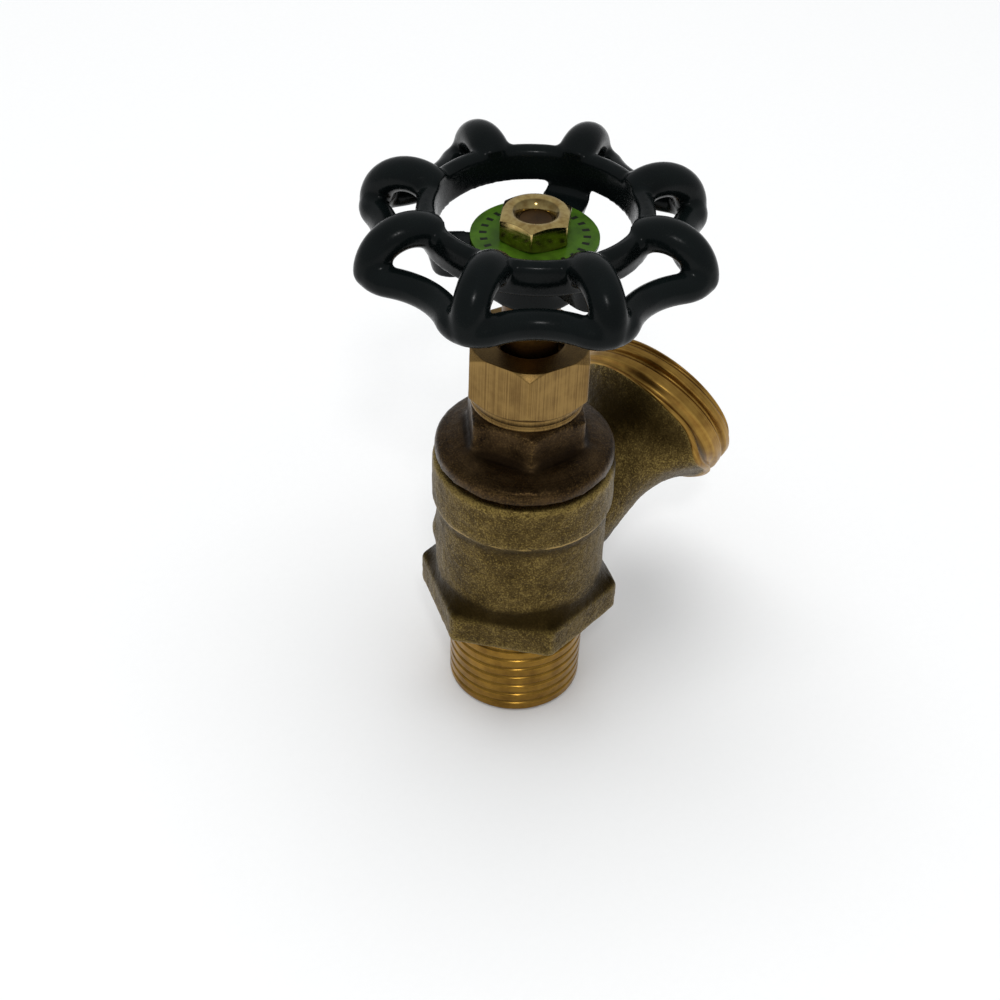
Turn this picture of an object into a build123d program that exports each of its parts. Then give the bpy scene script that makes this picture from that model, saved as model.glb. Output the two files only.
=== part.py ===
"""Boiler drain valve: a threaded inlet at the bottom, a hose outlet on the side, a handwheel on top.

Millimetres. +Z runs up along the stem, the origin is the centre of the inlet's end face,
and the outlet leaves towards +X and upwards. The valve is shut.
"""
from build123d import *
from math import atan2, cos, degrees, pi, radians, sin, tan
import os

# Inlet: half inch taper pipe thread, kept as a plain spigot at its middle major radius
inlet_thread_radius = 10.3
inlet_thread_length = 13.6
inlet_lead_in = 0.4
inlet_relief_depth = 0.7
inlet_relief_length = 1.2
inlet_bore_radius = 7.6
inlet_step_length = 1.6
inlet_step_below_floor = 1.0

# Cast wrench hexagon under the valve chamber
hex_height = 5.2
hex_across_flats = 26.1
hex_turn_deg = -1.9
hex_corner_radius = 1.3
hex_edge_radius = 0.6

# Valve chamber and the collar that the bonnet screws into
chamber_inset_from_hex = 0.6
chamber_bore_radius = 10.2
chamber_floor_above_hex = 4.1
chamber_height = 13.9
chamber_root_radius = 2.4
collar_step = 0.75
collar_height = 8.1
collar_slope_height = 1.1
collar_edge_radius = 0.7
bonnet_thread_radius = 10.9
bonnet_thread_depth = 6.4

# Seat on top of the inlet passage
seat_height = 4.4
seat_bore_radius = 6.0
seat_land_width = 0.9
seat_nozzle_radius = 8.0
seat_slope_height = 1.2

# Outlet: straight neck that flares into a three quarter inch hose thread
outlet_rise_deg = 22.0
outlet_axis_below_floor = 0.1
outlet_length = 37.6
outlet_neck_radius = 7.4
outlet_neck_start = 2.0
outlet_neck_end = 20.3
outlet_root_radius = 1.2
outlet_thread_radius = 13.4
outlet_thread_length = 5.2
outlet_lead_in = 0.8
outlet_bore_radius = 5.2
outlet_mouth_radius = 9.6
outlet_mouth_depth = 7.0
outlet_funnel_depth = 7.0

# Bonnet: flange, hexagon, and the threaded neck that holds the packing
gasket_thickness = 0.8
gasket_inset = 1.1
bonnet_flange_width = 2.0
bonnet_flange_height = 3.3
bonnet_flange_edge_radius = 1.1
bonnet_flange_slope_deg = 20.0
bonnet_flange_land = 0.2
bonnet_hex_across_flats = 15.9
bonnet_hex_height = 5.6
bonnet_hex_turn_deg = 44.0
bonnet_spigot_length = 4.7
bonnet_neck_radius = 6.9
packing_box_radius = 5.6
packing_box_below_hex_top = 0.4
packing_box_web = 1.6

# Packing, from the bottom of the box upwards
packing_washer_thickness = 0.8
packing_ring_height = 2.3

# Packing nut: a hexagon on a round collar
packing_nut_lift = 0.2
packing_nut_height = 10.4
packing_nut_across_flats = 16.4
packing_nut_collar_radius = 8.0
packing_nut_collar_height = 1.95
packing_nut_face_radius = 8.5
packing_nut_chamfer_deg = 45.0
packing_nut_web = 2.0
packing_nut_room = 0.8
packing_nut_hole_radius = 4.7
packing_nut_turn_deg = 38.8

# Stem
stem_radius = 4.0
stem_thread_radius = 5.2
stem_thread_length = 10.8
stem_thread_chamfer = 0.8
stem_neck_radius = 2.3
stem_button_radius = 3.6
stem_button_height = 1.8
stem_square = 5.5
stem_square_below_hub = 0.3
stem_end_radius = 2.1
stem_end_recess = 0.9

# Swivelling disc holder with the seat washer
washer_radius = 7.3
washer_thickness = 2.6
holder_wall = 0.9
holder_skirt_height = 1.75
holder_web = 1.75
holder_chamfer = 0.6
holder_boss_radius = 5.9
holder_lip = 1.7
seat_screw_radius = 1.6
seat_screw_head_radius = 3.2
seat_screw_head_height = 1.6
seat_screw_chamfer = 0.5
seat_screw_slot = 0.8

# Handwheel: round upper ring, eight finger loops, lobed lower rim, three spokes and a hub
wheel_turn_deg = 17.4
wheel_above_nut = 8.5
hub_height = 7.5
hub_radius = 7.0
hub_bottom_radius = 6.6
finger_count = 8
ring_above_hub = 1.0
ring_height = 4.6
ring_inner_radius = 13.1
ring_outer_radius = 15.8
ring_draft = 0.45
ring_parting_share = 0.46
rim_below_hub_top = 0.2
rim_bar_radius = 2.0
rim_outer_radius = 22.9
rim_inner_radius = 19.5
rim_lobe_radius = 3.7
finger_bar_radius = 2.25
finger_root_half_width = 2.8
finger_end_inside_ring = 1.4
finger_arc_start_deg = 3.0
finger_arc_end_deg = 128.0
spoke_count = 3
spoke_depth = 3.3
spoke_below_hub_top = 0.8
spoke_rise = 0.5
spoke_half_width = 2.3
spoke_end_radius = 13.5
spoke_draft_deg = 15.0
spoke_root_radius = 1.4

# Label disc and the nut that holds the wheel
label_disc_radius = 8.55
label_disc_thickness = 0.5
wheel_nut_across_flats = 8.9
wheel_nut_height = 3.4
wheel_nut_turn_deg = 32.0
wheel_nut_countersink = 0.7

# A common nut's face is this share of its width across flats, with a chamfer at this angle
nut_face_share = 0.96
nut_chamfer_deg = 30.0

# Clearances
thread_clearance = 0.05
stem_clearance = 0.06
packing_clearance = 0.05
swivel_clearance = 0.12
thread_start_clearance = 0.5
seat_gap = 0.05
square_clearance = 0.05
square_top_clearance = 0.3
label_hole_clearance = 0.2
nut_seat_gap = 0.05
screw_tip_clearance = 0.2
screw_hole_web = 0.1

# Travel: two and a quarter turns of a ten to the inch stem thread
stem_lead = 2.54
stem_turns = 2.25

# Radii worked out from the sizes above
chamber_outer_radius = hex_across_flats / 2 - chamber_inset_from_hex
collar_radius = chamber_outer_radius + collar_step
bonnet_flange_radius = bonnet_thread_radius + bonnet_flange_width
finger_end_radius = ring_outer_radius - finger_end_inside_ring
finger_arc_radius = (rim_outer_radius - finger_end_radius) / (1 - cos(radians(finger_arc_end_deg)))

# Heights worked out from the sizes above
hex_bottom_z = inlet_thread_length + inlet_relief_depth + inlet_relief_length
hex_top_z = hex_bottom_z + hex_height
chamber_floor_z = hex_bottom_z + chamber_floor_above_hex
seat_z = chamber_floor_z + seat_height
outlet_axis_z = chamber_floor_z - outlet_axis_below_floor
outlet_thread_start = outlet_length - outlet_thread_length
collar_bottom_z = hex_top_z + chamber_height
collar_top_z = collar_bottom_z + collar_height
flange_bottom_z = collar_top_z + gasket_thickness
flange_top_z = flange_bottom_z + bonnet_flange_height
bonnet_hex_top_z = flange_top_z + bonnet_hex_height
packing_box_floor_z = bonnet_hex_top_z - packing_box_below_hex_top
packing_nut_bottom_z = bonnet_hex_top_z + packing_nut_lift
packing_nut_top_z = packing_nut_bottom_z + packing_nut_height
packing_nut_web_z = packing_nut_top_z - packing_nut_web
bonnet_neck_top_z = packing_nut_web_z - packing_nut_room
hub_bottom_z = packing_nut_top_z + wheel_above_nut
hub_top_z = hub_bottom_z + hub_height
ring_bottom_z = hub_top_z + ring_above_hub
ring_top_z = ring_bottom_z + ring_height
rim_z = hub_top_z - rim_below_hub_top
spoke_top_z = hub_top_z - spoke_below_hub_top
stem_square_z = hub_bottom_z - stem_square_below_hub

CUT = 1.0  # how far a cutting tool runs past the face that it opens
SEAM_TOLERANCE = 0.02  # how near an edge lies to the surface that it is looked for on


def disc(radius, bottom, top):
    """A round solid on the stem's axis, from one height to another."""
    return Pos(0, 0, bottom) * Cylinder(radius, top - bottom, align=(Align.CENTER, Align.CENTER, Align.MIN))


def ring(outer, inner, bottom, top):
    """A round solid with a hole through it."""
    return disc(outer, bottom, top) - disc(inner, bottom - CUT, top + CUT)


def turned(*points):
    """The closed profile of (radius, height) points, turned about the stem's axis."""
    return revolve(make_face(Plane.XZ * Polyline(*points, close=True)), Axis.Z)


def hexagon(across_flats, bottom, top, turn_deg):
    """A hexagonal prism with one corner at the given turn from +X."""
    prism = extrude(RegularPolygon(across_flats / 2, 6, major_radius=False), top - bottom)
    corner = prism.vertices()[0]
    corner_deg = degrees(atan2(corner.Y, corner.X))
    return Pos(0, 0, bottom) * Rot(0, 0, turn_deg - corner_deg) * prism


def chamfered_hexagon(across_flats, bottom, top, turn_deg, face_radius, chamfer_deg, both_ends=False):
    """A turned nut's hexagon: a cone cuts the corners back, at the top or at both ends."""
    corner = across_flats / 2 / cos(pi / 6)
    drop = (corner - face_radius) * tan(radians(chamfer_deg))
    points = [(0, bottom), (corner, bottom), (corner, top - drop), (face_radius, top), (0, top)]
    if both_ends:
        points[1:2] = [(face_radius, bottom), (corner, bottom + drop)]
    return hexagon(across_flats, bottom, top, turn_deg) & turned(*points)


def common_hexagon(across_flats, bottom, top, turn_deg):
    """A hexagon with the shallow chamfer of a common nut."""
    face_radius = across_flats / 2 * nut_face_share
    return chamfered_hexagon(across_flats, bottom, top, turn_deg, face_radius, nut_chamfer_deg)


def outlet_plane():
    """The outlet's frame: its origin on the stem's axis, its normal along the outlet."""
    rise = radians(outlet_rise_deg)
    return Plane(origin=(0, 0, outlet_axis_z), x_dir=(0, 1, 0), z_dir=(cos(rise), 0, sin(rise)))


def make_spigot():
    """The inlet's spigot with its lead-in, and the relief between it and the hexagon."""
    relief = inlet_thread_radius - inlet_relief_depth
    relief_start = inlet_thread_length + inlet_relief_depth
    return turned(
        (0, 0), (inlet_thread_radius - inlet_lead_in, 0), (inlet_thread_radius, inlet_lead_in),
        (inlet_thread_radius, inlet_thread_length), (relief, relief_start),
        (relief, hex_bottom_z + CUT), (0, hex_bottom_z + CUT),
    )


def make_cast_hexagon():
    """The wrench hexagon with its rounded corners and edges."""
    blank = hexagon(hex_across_flats, hex_bottom_z, hex_top_z, hex_turn_deg)
    blank = fillet(blank.edges().filter_by(Axis.Z), hex_corner_radius)
    rims = blank.edges().group_by(Axis.Z)
    return fillet(rims[0] + rims[-1], hex_edge_radius)


def make_chamber_outside():
    """The chamber's wall and the collar on it, without the bore."""
    edge = collar_edge_radius
    with BuildSketch(Plane.XZ) as profile:
        with BuildLine():
            wall = Polyline(
                (0, hex_bottom_z + CUT), (chamber_outer_radius, hex_bottom_z + CUT),
                (chamber_outer_radius, collar_bottom_z),
                (collar_radius, collar_bottom_z + collar_slope_height),
                (collar_radius, collar_top_z - edge),
            )
            rounded = RadiusArc(wall @ 1, (collar_radius - edge, collar_top_z), -edge)
            Polyline(rounded @ 1, (0, collar_top_z), wall @ 0)
        make_face()
    return revolve(profile.sketch, Axis.Z)


def body_column():
    """Spigot, hexagon, chamber and collar, with the cast fillet where the chamber meets the hexagon."""
    column = make_cast_hexagon() + make_chamber_outside()
    circles = column.edges().filter_by(GeomType.CIRCLE)
    seam = [
        edge for edge in circles
        if abs(edge.center().Z - hex_top_z) < hex_edge_radius / 2 and edge.radius > chamber_bore_radius
    ]
    return make_spigot() + fillet(seam, chamber_root_radius)


def outlet_outside():
    """The neck, its flare and the hose thread's plain spigot, along the outlet's axis."""
    lead_in = outlet_lead_in
    with BuildSketch(Plane.XZ) as profile:
        with BuildLine():
            neck = Polyline(
                (0, outlet_neck_start), (outlet_neck_radius, outlet_neck_start),
                (outlet_neck_radius, outlet_neck_end),
            )
            flare = TangentArc(neck @ 1, (outlet_thread_radius, outlet_thread_start), tangent=(0, 1))
            Polyline(
                flare @ 1, (outlet_thread_radius, outlet_length - lead_in),
                (outlet_thread_radius - lead_in, outlet_length), (0, outlet_length), neck @ 0,
            )
        make_face()
    return outlet_plane() * revolve(profile.sketch, Axis.Z)


def neck_seam(outside):
    """The edges where the neck leaves the chamber's wall, above the wrench hexagon."""
    frame = outlet_plane()

    def is_on_seam(edge):
        middle = edge @ 0.5
        local = frame.to_local_coords(middle)
        on_neck = abs(Vector(local.X, local.Y).length - outlet_neck_radius) < SEAM_TOLERANCE
        return on_neck and middle.Z > hex_top_z + SEAM_TOLERANCE and edge.geom_type != GeomType.LINE

    return [edge for edge in outside.edges() if is_on_seam(edge)]


def body_outside():
    """Column and outlet in one, with the cast fillet where the neck leaves the chamber."""
    outside = body_column() + outlet_outside()
    return fillet(neck_seam(outside), outlet_root_radius)


def outlet_waterway():
    """The outlet's bore from the chamber to the mouth, kept clear of the seat's nozzle."""
    funnel_end = outlet_length - outlet_mouth_depth
    funnel_start = funnel_end - outlet_funnel_depth
    bore = turned(
        (0, 0), (outlet_bore_radius, 0), (outlet_bore_radius, funnel_start),
        (outlet_mouth_radius, funnel_end), (outlet_mouth_radius, outlet_length + CUT),
        (0, outlet_length + CUT),
    )
    return outlet_plane() * bore - disc(seat_nozzle_radius, 0, seat_z)


def make_body():
    """The cast body with its seat, waterway and the thread that takes the bonnet."""
    thread_floor = collar_top_z - bonnet_thread_depth
    chamber = turned(
        (0, chamber_floor_z), (chamber_bore_radius, chamber_floor_z), (chamber_bore_radius, thread_floor),
        (bonnet_thread_radius, thread_floor), (bonnet_thread_radius, collar_top_z + CUT),
        (0, collar_top_z + CUT),
    )
    nozzle = turned(
        (0, chamber_floor_z), (seat_nozzle_radius, chamber_floor_z),
        (seat_nozzle_radius, seat_z - seat_slope_height),
        (seat_bore_radius + seat_land_width, seat_z), (0, seat_z),
    )
    step_top = chamber_floor_z - inlet_step_below_floor
    inlet = turned(
        (0, -CUT), (inlet_bore_radius, -CUT), (inlet_bore_radius, step_top - inlet_step_length),
        (seat_bore_radius, step_top), (seat_bore_radius, seat_z + CUT), (0, seat_z + CUT),
    )
    return body_outside() - (chamber - nozzle) - outlet_waterway() - inlet


def make_gasket():
    """Flat ring between the collar and the bonnet's flange."""
    return ring(bonnet_flange_radius - gasket_inset, bonnet_thread_radius, collar_top_z, flange_bottom_z)


def make_bonnet():
    """Bonnet: spigot, flange that slopes to a round edge, hexagon, and the neck with the packing box."""
    spigot_z = flange_bottom_z - bonnet_spigot_length
    spigot = bonnet_thread_radius - thread_clearance
    edge = bonnet_flange_edge_radius
    slope = radians(bonnet_flange_slope_deg)
    land_radius = bonnet_hex_across_flats / 2 / cos(pi / 6) + bonnet_flange_land
    rim_top_radius = bonnet_flange_radius - edge * (1 - sin(slope))
    rim_top_z = flange_top_z - (rim_top_radius - land_radius) * tan(slope)
    with BuildSketch(Plane.XZ) as profile:
        with BuildLine():
            foot = Polyline(
                (0, spigot_z), (spigot, spigot_z), (spigot, flange_bottom_z),
                (bonnet_flange_radius, flange_bottom_z),
                (bonnet_flange_radius, rim_top_z - edge * cos(slope)),
            )
            rounded = RadiusArc(foot @ 1, (rim_top_radius, rim_top_z), -edge)
            Polyline(
                rounded @ 1, (land_radius, flange_top_z), (bonnet_neck_radius, flange_top_z),
                (bonnet_neck_radius, bonnet_neck_top_z), (0, bonnet_neck_top_z), foot @ 0,
            )
        make_face()
    blank = revolve(profile.sketch, Axis.Z)
    blank += common_hexagon(
        bonnet_hex_across_flats, flange_top_z - edge, bonnet_hex_top_z, bonnet_hex_turn_deg
    )
    web_z = packing_box_floor_z - packing_box_web
    bore = stem_thread_radius + stem_clearance
    hole = stem_radius + stem_clearance
    passage = turned(
        (0, spigot_z - CUT), (bore, spigot_z - CUT), (bore, web_z), (hole, web_z),
        (hole, packing_box_floor_z),
        (packing_box_radius, packing_box_floor_z), (packing_box_radius, bonnet_neck_top_z + CUT),
        (0, bonnet_neck_top_z + CUT),
    )
    return blank - passage


def packing_levels():
    """Heights of the packing washer's, both rings' and the gland's lower faces, and of the gland's top."""
    washer_top = packing_box_floor_z + packing_washer_thickness
    first_top = washer_top + packing_ring_height
    second_top = first_top + packing_ring_height
    return packing_box_floor_z, washer_top, first_top, second_top, packing_nut_web_z - nut_seat_gap


def make_packing_piece(level, is_soft):
    """One ring of the packing box's stack; the soft ones sit closer to the stem."""
    bottom, top = packing_levels()[level:level + 2]
    gap = packing_clearance if is_soft else stem_clearance
    return ring(packing_box_radius - packing_clearance, stem_radius + gap, bottom, top)


def make_packing_nut():
    """Hexagon on a round collar, screwed over the bonnet's neck."""
    collar_top = packing_nut_bottom_z + packing_nut_collar_height
    blank = disc(packing_nut_collar_radius, packing_nut_bottom_z, collar_top)
    blank += chamfered_hexagon(
        packing_nut_across_flats, collar_top, packing_nut_top_z, packing_nut_turn_deg,
        packing_nut_face_radius, packing_nut_chamfer_deg, both_ends=True,
    )
    blank -= disc(bonnet_neck_radius + thread_clearance, packing_nut_bottom_z - CUT, packing_nut_web_z)
    return blank - disc(packing_nut_hole_radius, packing_nut_web_z - CUT, packing_nut_top_z + CUT)


def holder_levels():
    """Heights inside the disc holder: washer's bottom and top, web's top, button's top, boss's top."""
    washer_bottom = seat_z + seat_gap
    washer_top = washer_bottom + washer_thickness
    web_top = washer_top + holder_web
    button_top = web_top + swivel_clearance + stem_button_height
    return washer_bottom, washer_top, web_top, button_top, button_top + swivel_clearance + holder_lip


def make_stem():
    """Stem: button, neck, thread, shank, square for the wheel and threaded end for the nut."""
    _, _, _, button_top, boss_top = holder_levels()
    button_bottom = button_top - stem_button_height
    thread_bottom = boss_top + thread_start_clearance
    thread_top = thread_bottom + stem_thread_length
    thread_root = stem_thread_radius - stem_thread_chamfer
    end_z = hub_top_z + label_disc_thickness + wheel_nut_height - stem_end_recess
    square_top = hub_top_z - square_top_clearance
    stem = turned(
        (0, button_bottom), (stem_button_radius, button_bottom), (stem_button_radius, button_top),
        (stem_neck_radius, button_top), (stem_neck_radius, thread_bottom), (thread_root, thread_bottom),
        (stem_thread_radius, thread_bottom + stem_thread_chamfer),
        (stem_thread_radius, thread_top - stem_thread_chamfer), (stem_radius, thread_top),
        (stem_radius, stem_square_z), (0, stem_square_z),
    )
    section = Pos(0, 0, stem_square_z) * Rectangle(stem_square, stem_square)
    square = extrude(section, square_top - stem_square_z)
    return stem + Rot(0, 0, wheel_turn_deg) * square + disc(stem_end_radius, square_top - CUT, end_z)


def slot_channel(half_width, bottom, top):
    """A round-ended channel from the stem's axis out through the holder's side towards -Y."""
    reach = washer_radius + holder_wall + CUT
    straight = Pos(0, -reach / 2, bottom) * Box(
        half_width * 2, reach, top - bottom, align=(Align.CENTER, Align.CENTER, Align.MIN)
    )
    return straight + disc(half_width, bottom, top)


def make_disc_holder():
    """Cup for the seat washer under a boss whose side slot takes the stem's button."""
    _, washer_top, web_top, button_top, boss_top = holder_levels()
    cup_bore = washer_radius + packing_clearance
    cup_radius = cup_bore + holder_wall
    skirt_bottom = washer_top - holder_skirt_height
    holder = turned(
        (0, washer_top), (cup_bore, washer_top), (cup_bore, skirt_bottom), (cup_radius, skirt_bottom),
        (cup_radius, web_top - holder_chamfer), (cup_radius - holder_chamfer, web_top),
        (holder_boss_radius, web_top), (holder_boss_radius, boss_top), (0, boss_top),
    )
    slot_top = button_top + swivel_clearance
    slot = slot_channel(stem_button_radius + swivel_clearance, web_top, slot_top)
    slot += slot_channel(stem_neck_radius + swivel_clearance, slot_top - CUT, boss_top + CUT)
    screw_hole = disc(seat_screw_radius + thread_clearance, washer_top - CUT, web_top - screw_hole_web)
    return holder - slot - screw_hole


def make_seat_washer():
    """Flat rubber washer that shuts on the seat."""
    washer_bottom, washer_top = holder_levels()[:2]
    return ring(washer_radius, seat_screw_radius + thread_clearance, washer_bottom, washer_top)


def make_seat_screw():
    """Screw that holds the washer in its holder, with a slotted round head in the seat's bore."""
    washer_bottom, _, web_top, _, _ = holder_levels()
    head_bottom = washer_bottom - seat_screw_head_height
    tip_z = web_top - screw_hole_web - screw_tip_clearance
    screw = turned(
        (0, head_bottom), (seat_screw_head_radius - seat_screw_chamfer, head_bottom),
        (seat_screw_head_radius, head_bottom + seat_screw_chamfer), (seat_screw_head_radius, washer_bottom),
        (seat_screw_radius, washer_bottom), (seat_screw_radius, tip_z), (0, tip_z),
    )
    slot_length = 2 * (seat_screw_head_radius + CUT)
    slot = Pos(0, 0, head_bottom) * Box(slot_length, seat_screw_slot, seat_screw_head_height)
    return screw - slot


def wheel_ring():
    """The upper ring: widest at the mould's parting line, with a rounded top."""
    parting_z = ring_bottom_z + ring_height * ring_parting_share
    crown = (ring_outer_radius - ring_inner_radius) / 2
    shoulder_z = ring_top_z - crown
    with BuildSketch(Plane.XZ) as profile:
        with BuildLine():
            sides = Polyline(
                (ring_inner_radius, shoulder_z), (ring_inner_radius - ring_draft / 2, ring_bottom_z),
                (ring_outer_radius - ring_draft, ring_bottom_z), (ring_outer_radius, parting_z),
                (ring_outer_radius - ring_draft / 2, shoulder_z),
            )
            ThreePointArc(sides @ 1, (ring_inner_radius + crown, ring_top_z), sides @ 0)
        make_face()
    return revolve(profile.sketch, Axis.Z)


def wheel_finger():
    """One finger: a bar on an arc that bends down to the rim, round there and wider at the ring."""
    pivot = Vector(rim_outer_radius - finger_arc_radius, 0, rim_z)

    def at(angle_deg):
        angle = radians(angle_deg)
        return pivot + Vector(cos(angle), 0, sin(angle)) * finger_arc_radius

    middle_deg = (finger_arc_start_deg + finger_arc_end_deg) / 2
    path = ThreePointArc(at(finger_arc_start_deg), at(middle_deg), at(finger_arc_end_deg))
    foot = Plane(origin=path @ 0, x_dir=(0, 1, 0), z_dir=path % 0) * Circle(finger_bar_radius)
    root_section = Ellipse(finger_root_half_width, finger_bar_radius)
    root = Plane(origin=path @ 1, x_dir=(0, 1, 0), z_dir=path % 1) * root_section
    return sweep([foot, root], path, multisection=True) + Pos(path @ 0) * Sphere(finger_bar_radius)


def rim_point(radius, angle):
    """A point at the rim's height."""
    return Vector(radius * cos(angle), radius * sin(angle), rim_z)


def rim_path():
    """The lobed rim's closed path: a convex arc at each finger, a concave one between fingers.

    Both arcs share a tangent where they meet, which sets the concave one's radius.
    """
    half_step = pi / finger_count
    lobe_centre = rim_outer_radius - rim_lobe_radius
    across = lobe_centre * cos(half_step)
    squares = rim_lobe_radius ** 2 - lobe_centre ** 2 - rim_inner_radius ** 2
    dip_radius = (squares / 2 + across * rim_inner_radius) / (rim_inner_radius - across - rim_lobe_radius)
    lobe_share = rim_lobe_radius / (rim_lobe_radius + dip_radius)

    def joint(lobe_angle, dip_angle):
        lobe = rim_point(lobe_centre, lobe_angle)
        dip = rim_point(rim_inner_radius + dip_radius, dip_angle)
        return lobe + (dip - lobe) * lobe_share

    edges = []
    for index in range(finger_count):
        lobe_angle = index * 2 * half_step
        dip_angle = lobe_angle + half_step
        start = joint(lobe_angle, lobe_angle - half_step)
        middle = joint(lobe_angle, dip_angle)
        end = joint(lobe_angle + 2 * half_step, dip_angle)
        edges.append(ThreePointArc(start, rim_point(rim_outer_radius, lobe_angle), middle))
        edges.append(ThreePointArc(middle, rim_point(rim_inner_radius, dip_angle), end))
    return Wire(edges)


def wheel_rim():
    """The lower rim: a round bar along the lobed path."""
    path = rim_path()
    section = Plane(origin=path @ 0, z_dir=path % 0) * Circle(rim_bar_radius)
    return sweep(section, path)


def wheel_spoke():
    """One spoke: a round-ended bar, drafted wider towards the top, that curves up into the ring."""
    half = spoke_half_width
    bottom_z = spoke_top_z - spoke_depth
    with BuildSketch() as plan:
        with BuildLine():
            side = Line((0, -half), (spoke_end_radius - half, -half))
            end = TangentArc(side @ 1, (spoke_end_radius - half, half), tangent=(1, 0))
            Polyline(end @ 1, (0, half), side @ 0)
        make_face()
    parting_z = ring_bottom_z + ring_height * ring_parting_share
    bar = Pos(0, 0, bottom_z) * extrude(plan.sketch, parting_z - bottom_z, taper=-spoke_draft_deg)
    root = spoke_root_radius
    reach = ring_inner_radius
    rise_z = spoke_top_z + spoke_rise
    with BuildSketch(Plane.XZ) as side_view:
        with BuildLine():
            outline = Polyline(
                (reach, rise_z + root), (reach, parting_z), (ring_outer_radius, parting_z),
                (ring_outer_radius, bottom_z), (0, bottom_z), (0, spoke_top_z), (reach - root, rise_z),
            )
            RadiusArc(outline @ 1, outline @ 0, -root)
        make_face()
    return bar & revolve(side_view.sketch, Axis.Z)


def make_handwheel():
    """The cast handwheel, turned to where the photographed one stands."""
    wheel = wheel_ring() + wheel_rim()
    for index in range(finger_count):
        wheel += Rot(0, 0, index * 360 / finger_count) * wheel_finger()
    wheel += turned(
        (0, hub_bottom_z), (hub_bottom_radius, hub_bottom_z), (hub_radius, hub_top_z), (0, hub_top_z)
    )
    for index in range(spoke_count):
        wheel += Rot(0, 0, index * 360 / spoke_count) * wheel_spoke()
    hole = stem_square + 2 * square_clearance
    wheel -= Pos(0, 0, hub_bottom_z - CUT) * extrude(Rectangle(hole, hole), hub_height + 2 * CUT)
    return Rot(0, 0, wheel_turn_deg) * wheel


def make_label_disc():
    """Plain disc on top of the hub."""
    hole = stem_end_radius + label_hole_clearance
    return ring(label_disc_radius, hole, hub_top_z, hub_top_z + label_disc_thickness)


def make_wheel_nut():
    """Hexagon nut on the stem's end, with a countersunk bore."""
    bottom = hub_top_z + label_disc_thickness
    top = bottom + wheel_nut_height
    bore = stem_end_radius + thread_clearance
    mouth = turned(
        (0, bottom - CUT), (bore, bottom - CUT), (bore, top - wheel_nut_countersink),
        (bore + wheel_nut_countersink, top), (bore + wheel_nut_countersink, top + CUT), (0, top + CUT),
    )
    return common_hexagon(wheel_nut_across_flats, bottom, top, wheel_nut_turn_deg) - mouth


def main():
    """Build every piece and write one file for each."""
    os.makedirs("parts", exist_ok=True)
    pieces = {
        "body": make_body(),
        "bonnet_gasket": make_gasket(),
        "bonnet": make_bonnet(),
        "packing_washer": make_packing_piece(0, False),
        "packing_ring_lower": make_packing_piece(1, True),
        "packing_ring_upper": make_packing_piece(2, True),
        "packing_gland": make_packing_piece(3, False),
        "packing_nut": make_packing_nut(),
        "stem": make_stem(),
        "disc_holder": make_disc_holder(),
        "seat_washer": make_seat_washer(),
        "seat_screw": make_seat_screw(),
        "handwheel": make_handwheel(),
        "label_disc": make_label_disc(),
        "wheel_nut": make_wheel_nut(),
    }
    for name, piece in pieces.items():
        export_step(piece, f"parts/{name}.step")
    lift = stem_lead * stem_turns
    print(f"stem lift {lift:.3f} mm over {stem_turns * 360:.0f} degrees")


main()
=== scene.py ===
"""Looks of the boiler drain valve: rough cast brass, turned brass and a black enamelled handwheel.

Metres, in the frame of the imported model: +Z runs up the stem, the origin is the centre of the
inlet's end face, and the outlet leaves towards +X and upwards. Sizes below are in millimetres,
apart from those of the lights and the floor, which are in metres.
"""

import logging
import math
from collections.abc import Callable
from dataclasses import dataclass
from enum import Enum

import bmesh
import bpy
import numpy as np
from mathutils import Matrix, Vector

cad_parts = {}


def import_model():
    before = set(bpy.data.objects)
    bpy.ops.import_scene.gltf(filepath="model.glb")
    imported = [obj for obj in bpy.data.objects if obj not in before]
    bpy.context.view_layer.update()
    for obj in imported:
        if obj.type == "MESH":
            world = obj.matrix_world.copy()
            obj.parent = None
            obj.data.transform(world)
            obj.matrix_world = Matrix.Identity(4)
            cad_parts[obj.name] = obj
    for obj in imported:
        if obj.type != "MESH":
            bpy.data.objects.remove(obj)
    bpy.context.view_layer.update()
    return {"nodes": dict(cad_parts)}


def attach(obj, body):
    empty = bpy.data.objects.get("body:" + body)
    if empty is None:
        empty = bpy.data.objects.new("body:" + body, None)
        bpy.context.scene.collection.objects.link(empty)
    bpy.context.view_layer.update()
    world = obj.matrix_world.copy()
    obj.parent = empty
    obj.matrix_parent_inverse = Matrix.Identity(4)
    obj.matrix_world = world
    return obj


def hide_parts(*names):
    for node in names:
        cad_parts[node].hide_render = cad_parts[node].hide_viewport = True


MM = 0.001
INCH = 25.4
LOG = logging.getLogger("boiler_drain")

# Rows of a ring's profile: the radius at each turn, and the height
Rows = list[tuple[np.ndarray, float]]
# A low and a high value, or two sizes that belong together
Span = tuple[float, float]
# A place, or a direction
Place = tuple[float, float, float]


class Carrier(Enum):
    """The bodies that the new pieces ride on."""

    VALVE = "valve_body"
    WHEEL = "wheel_and_stem"


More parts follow.
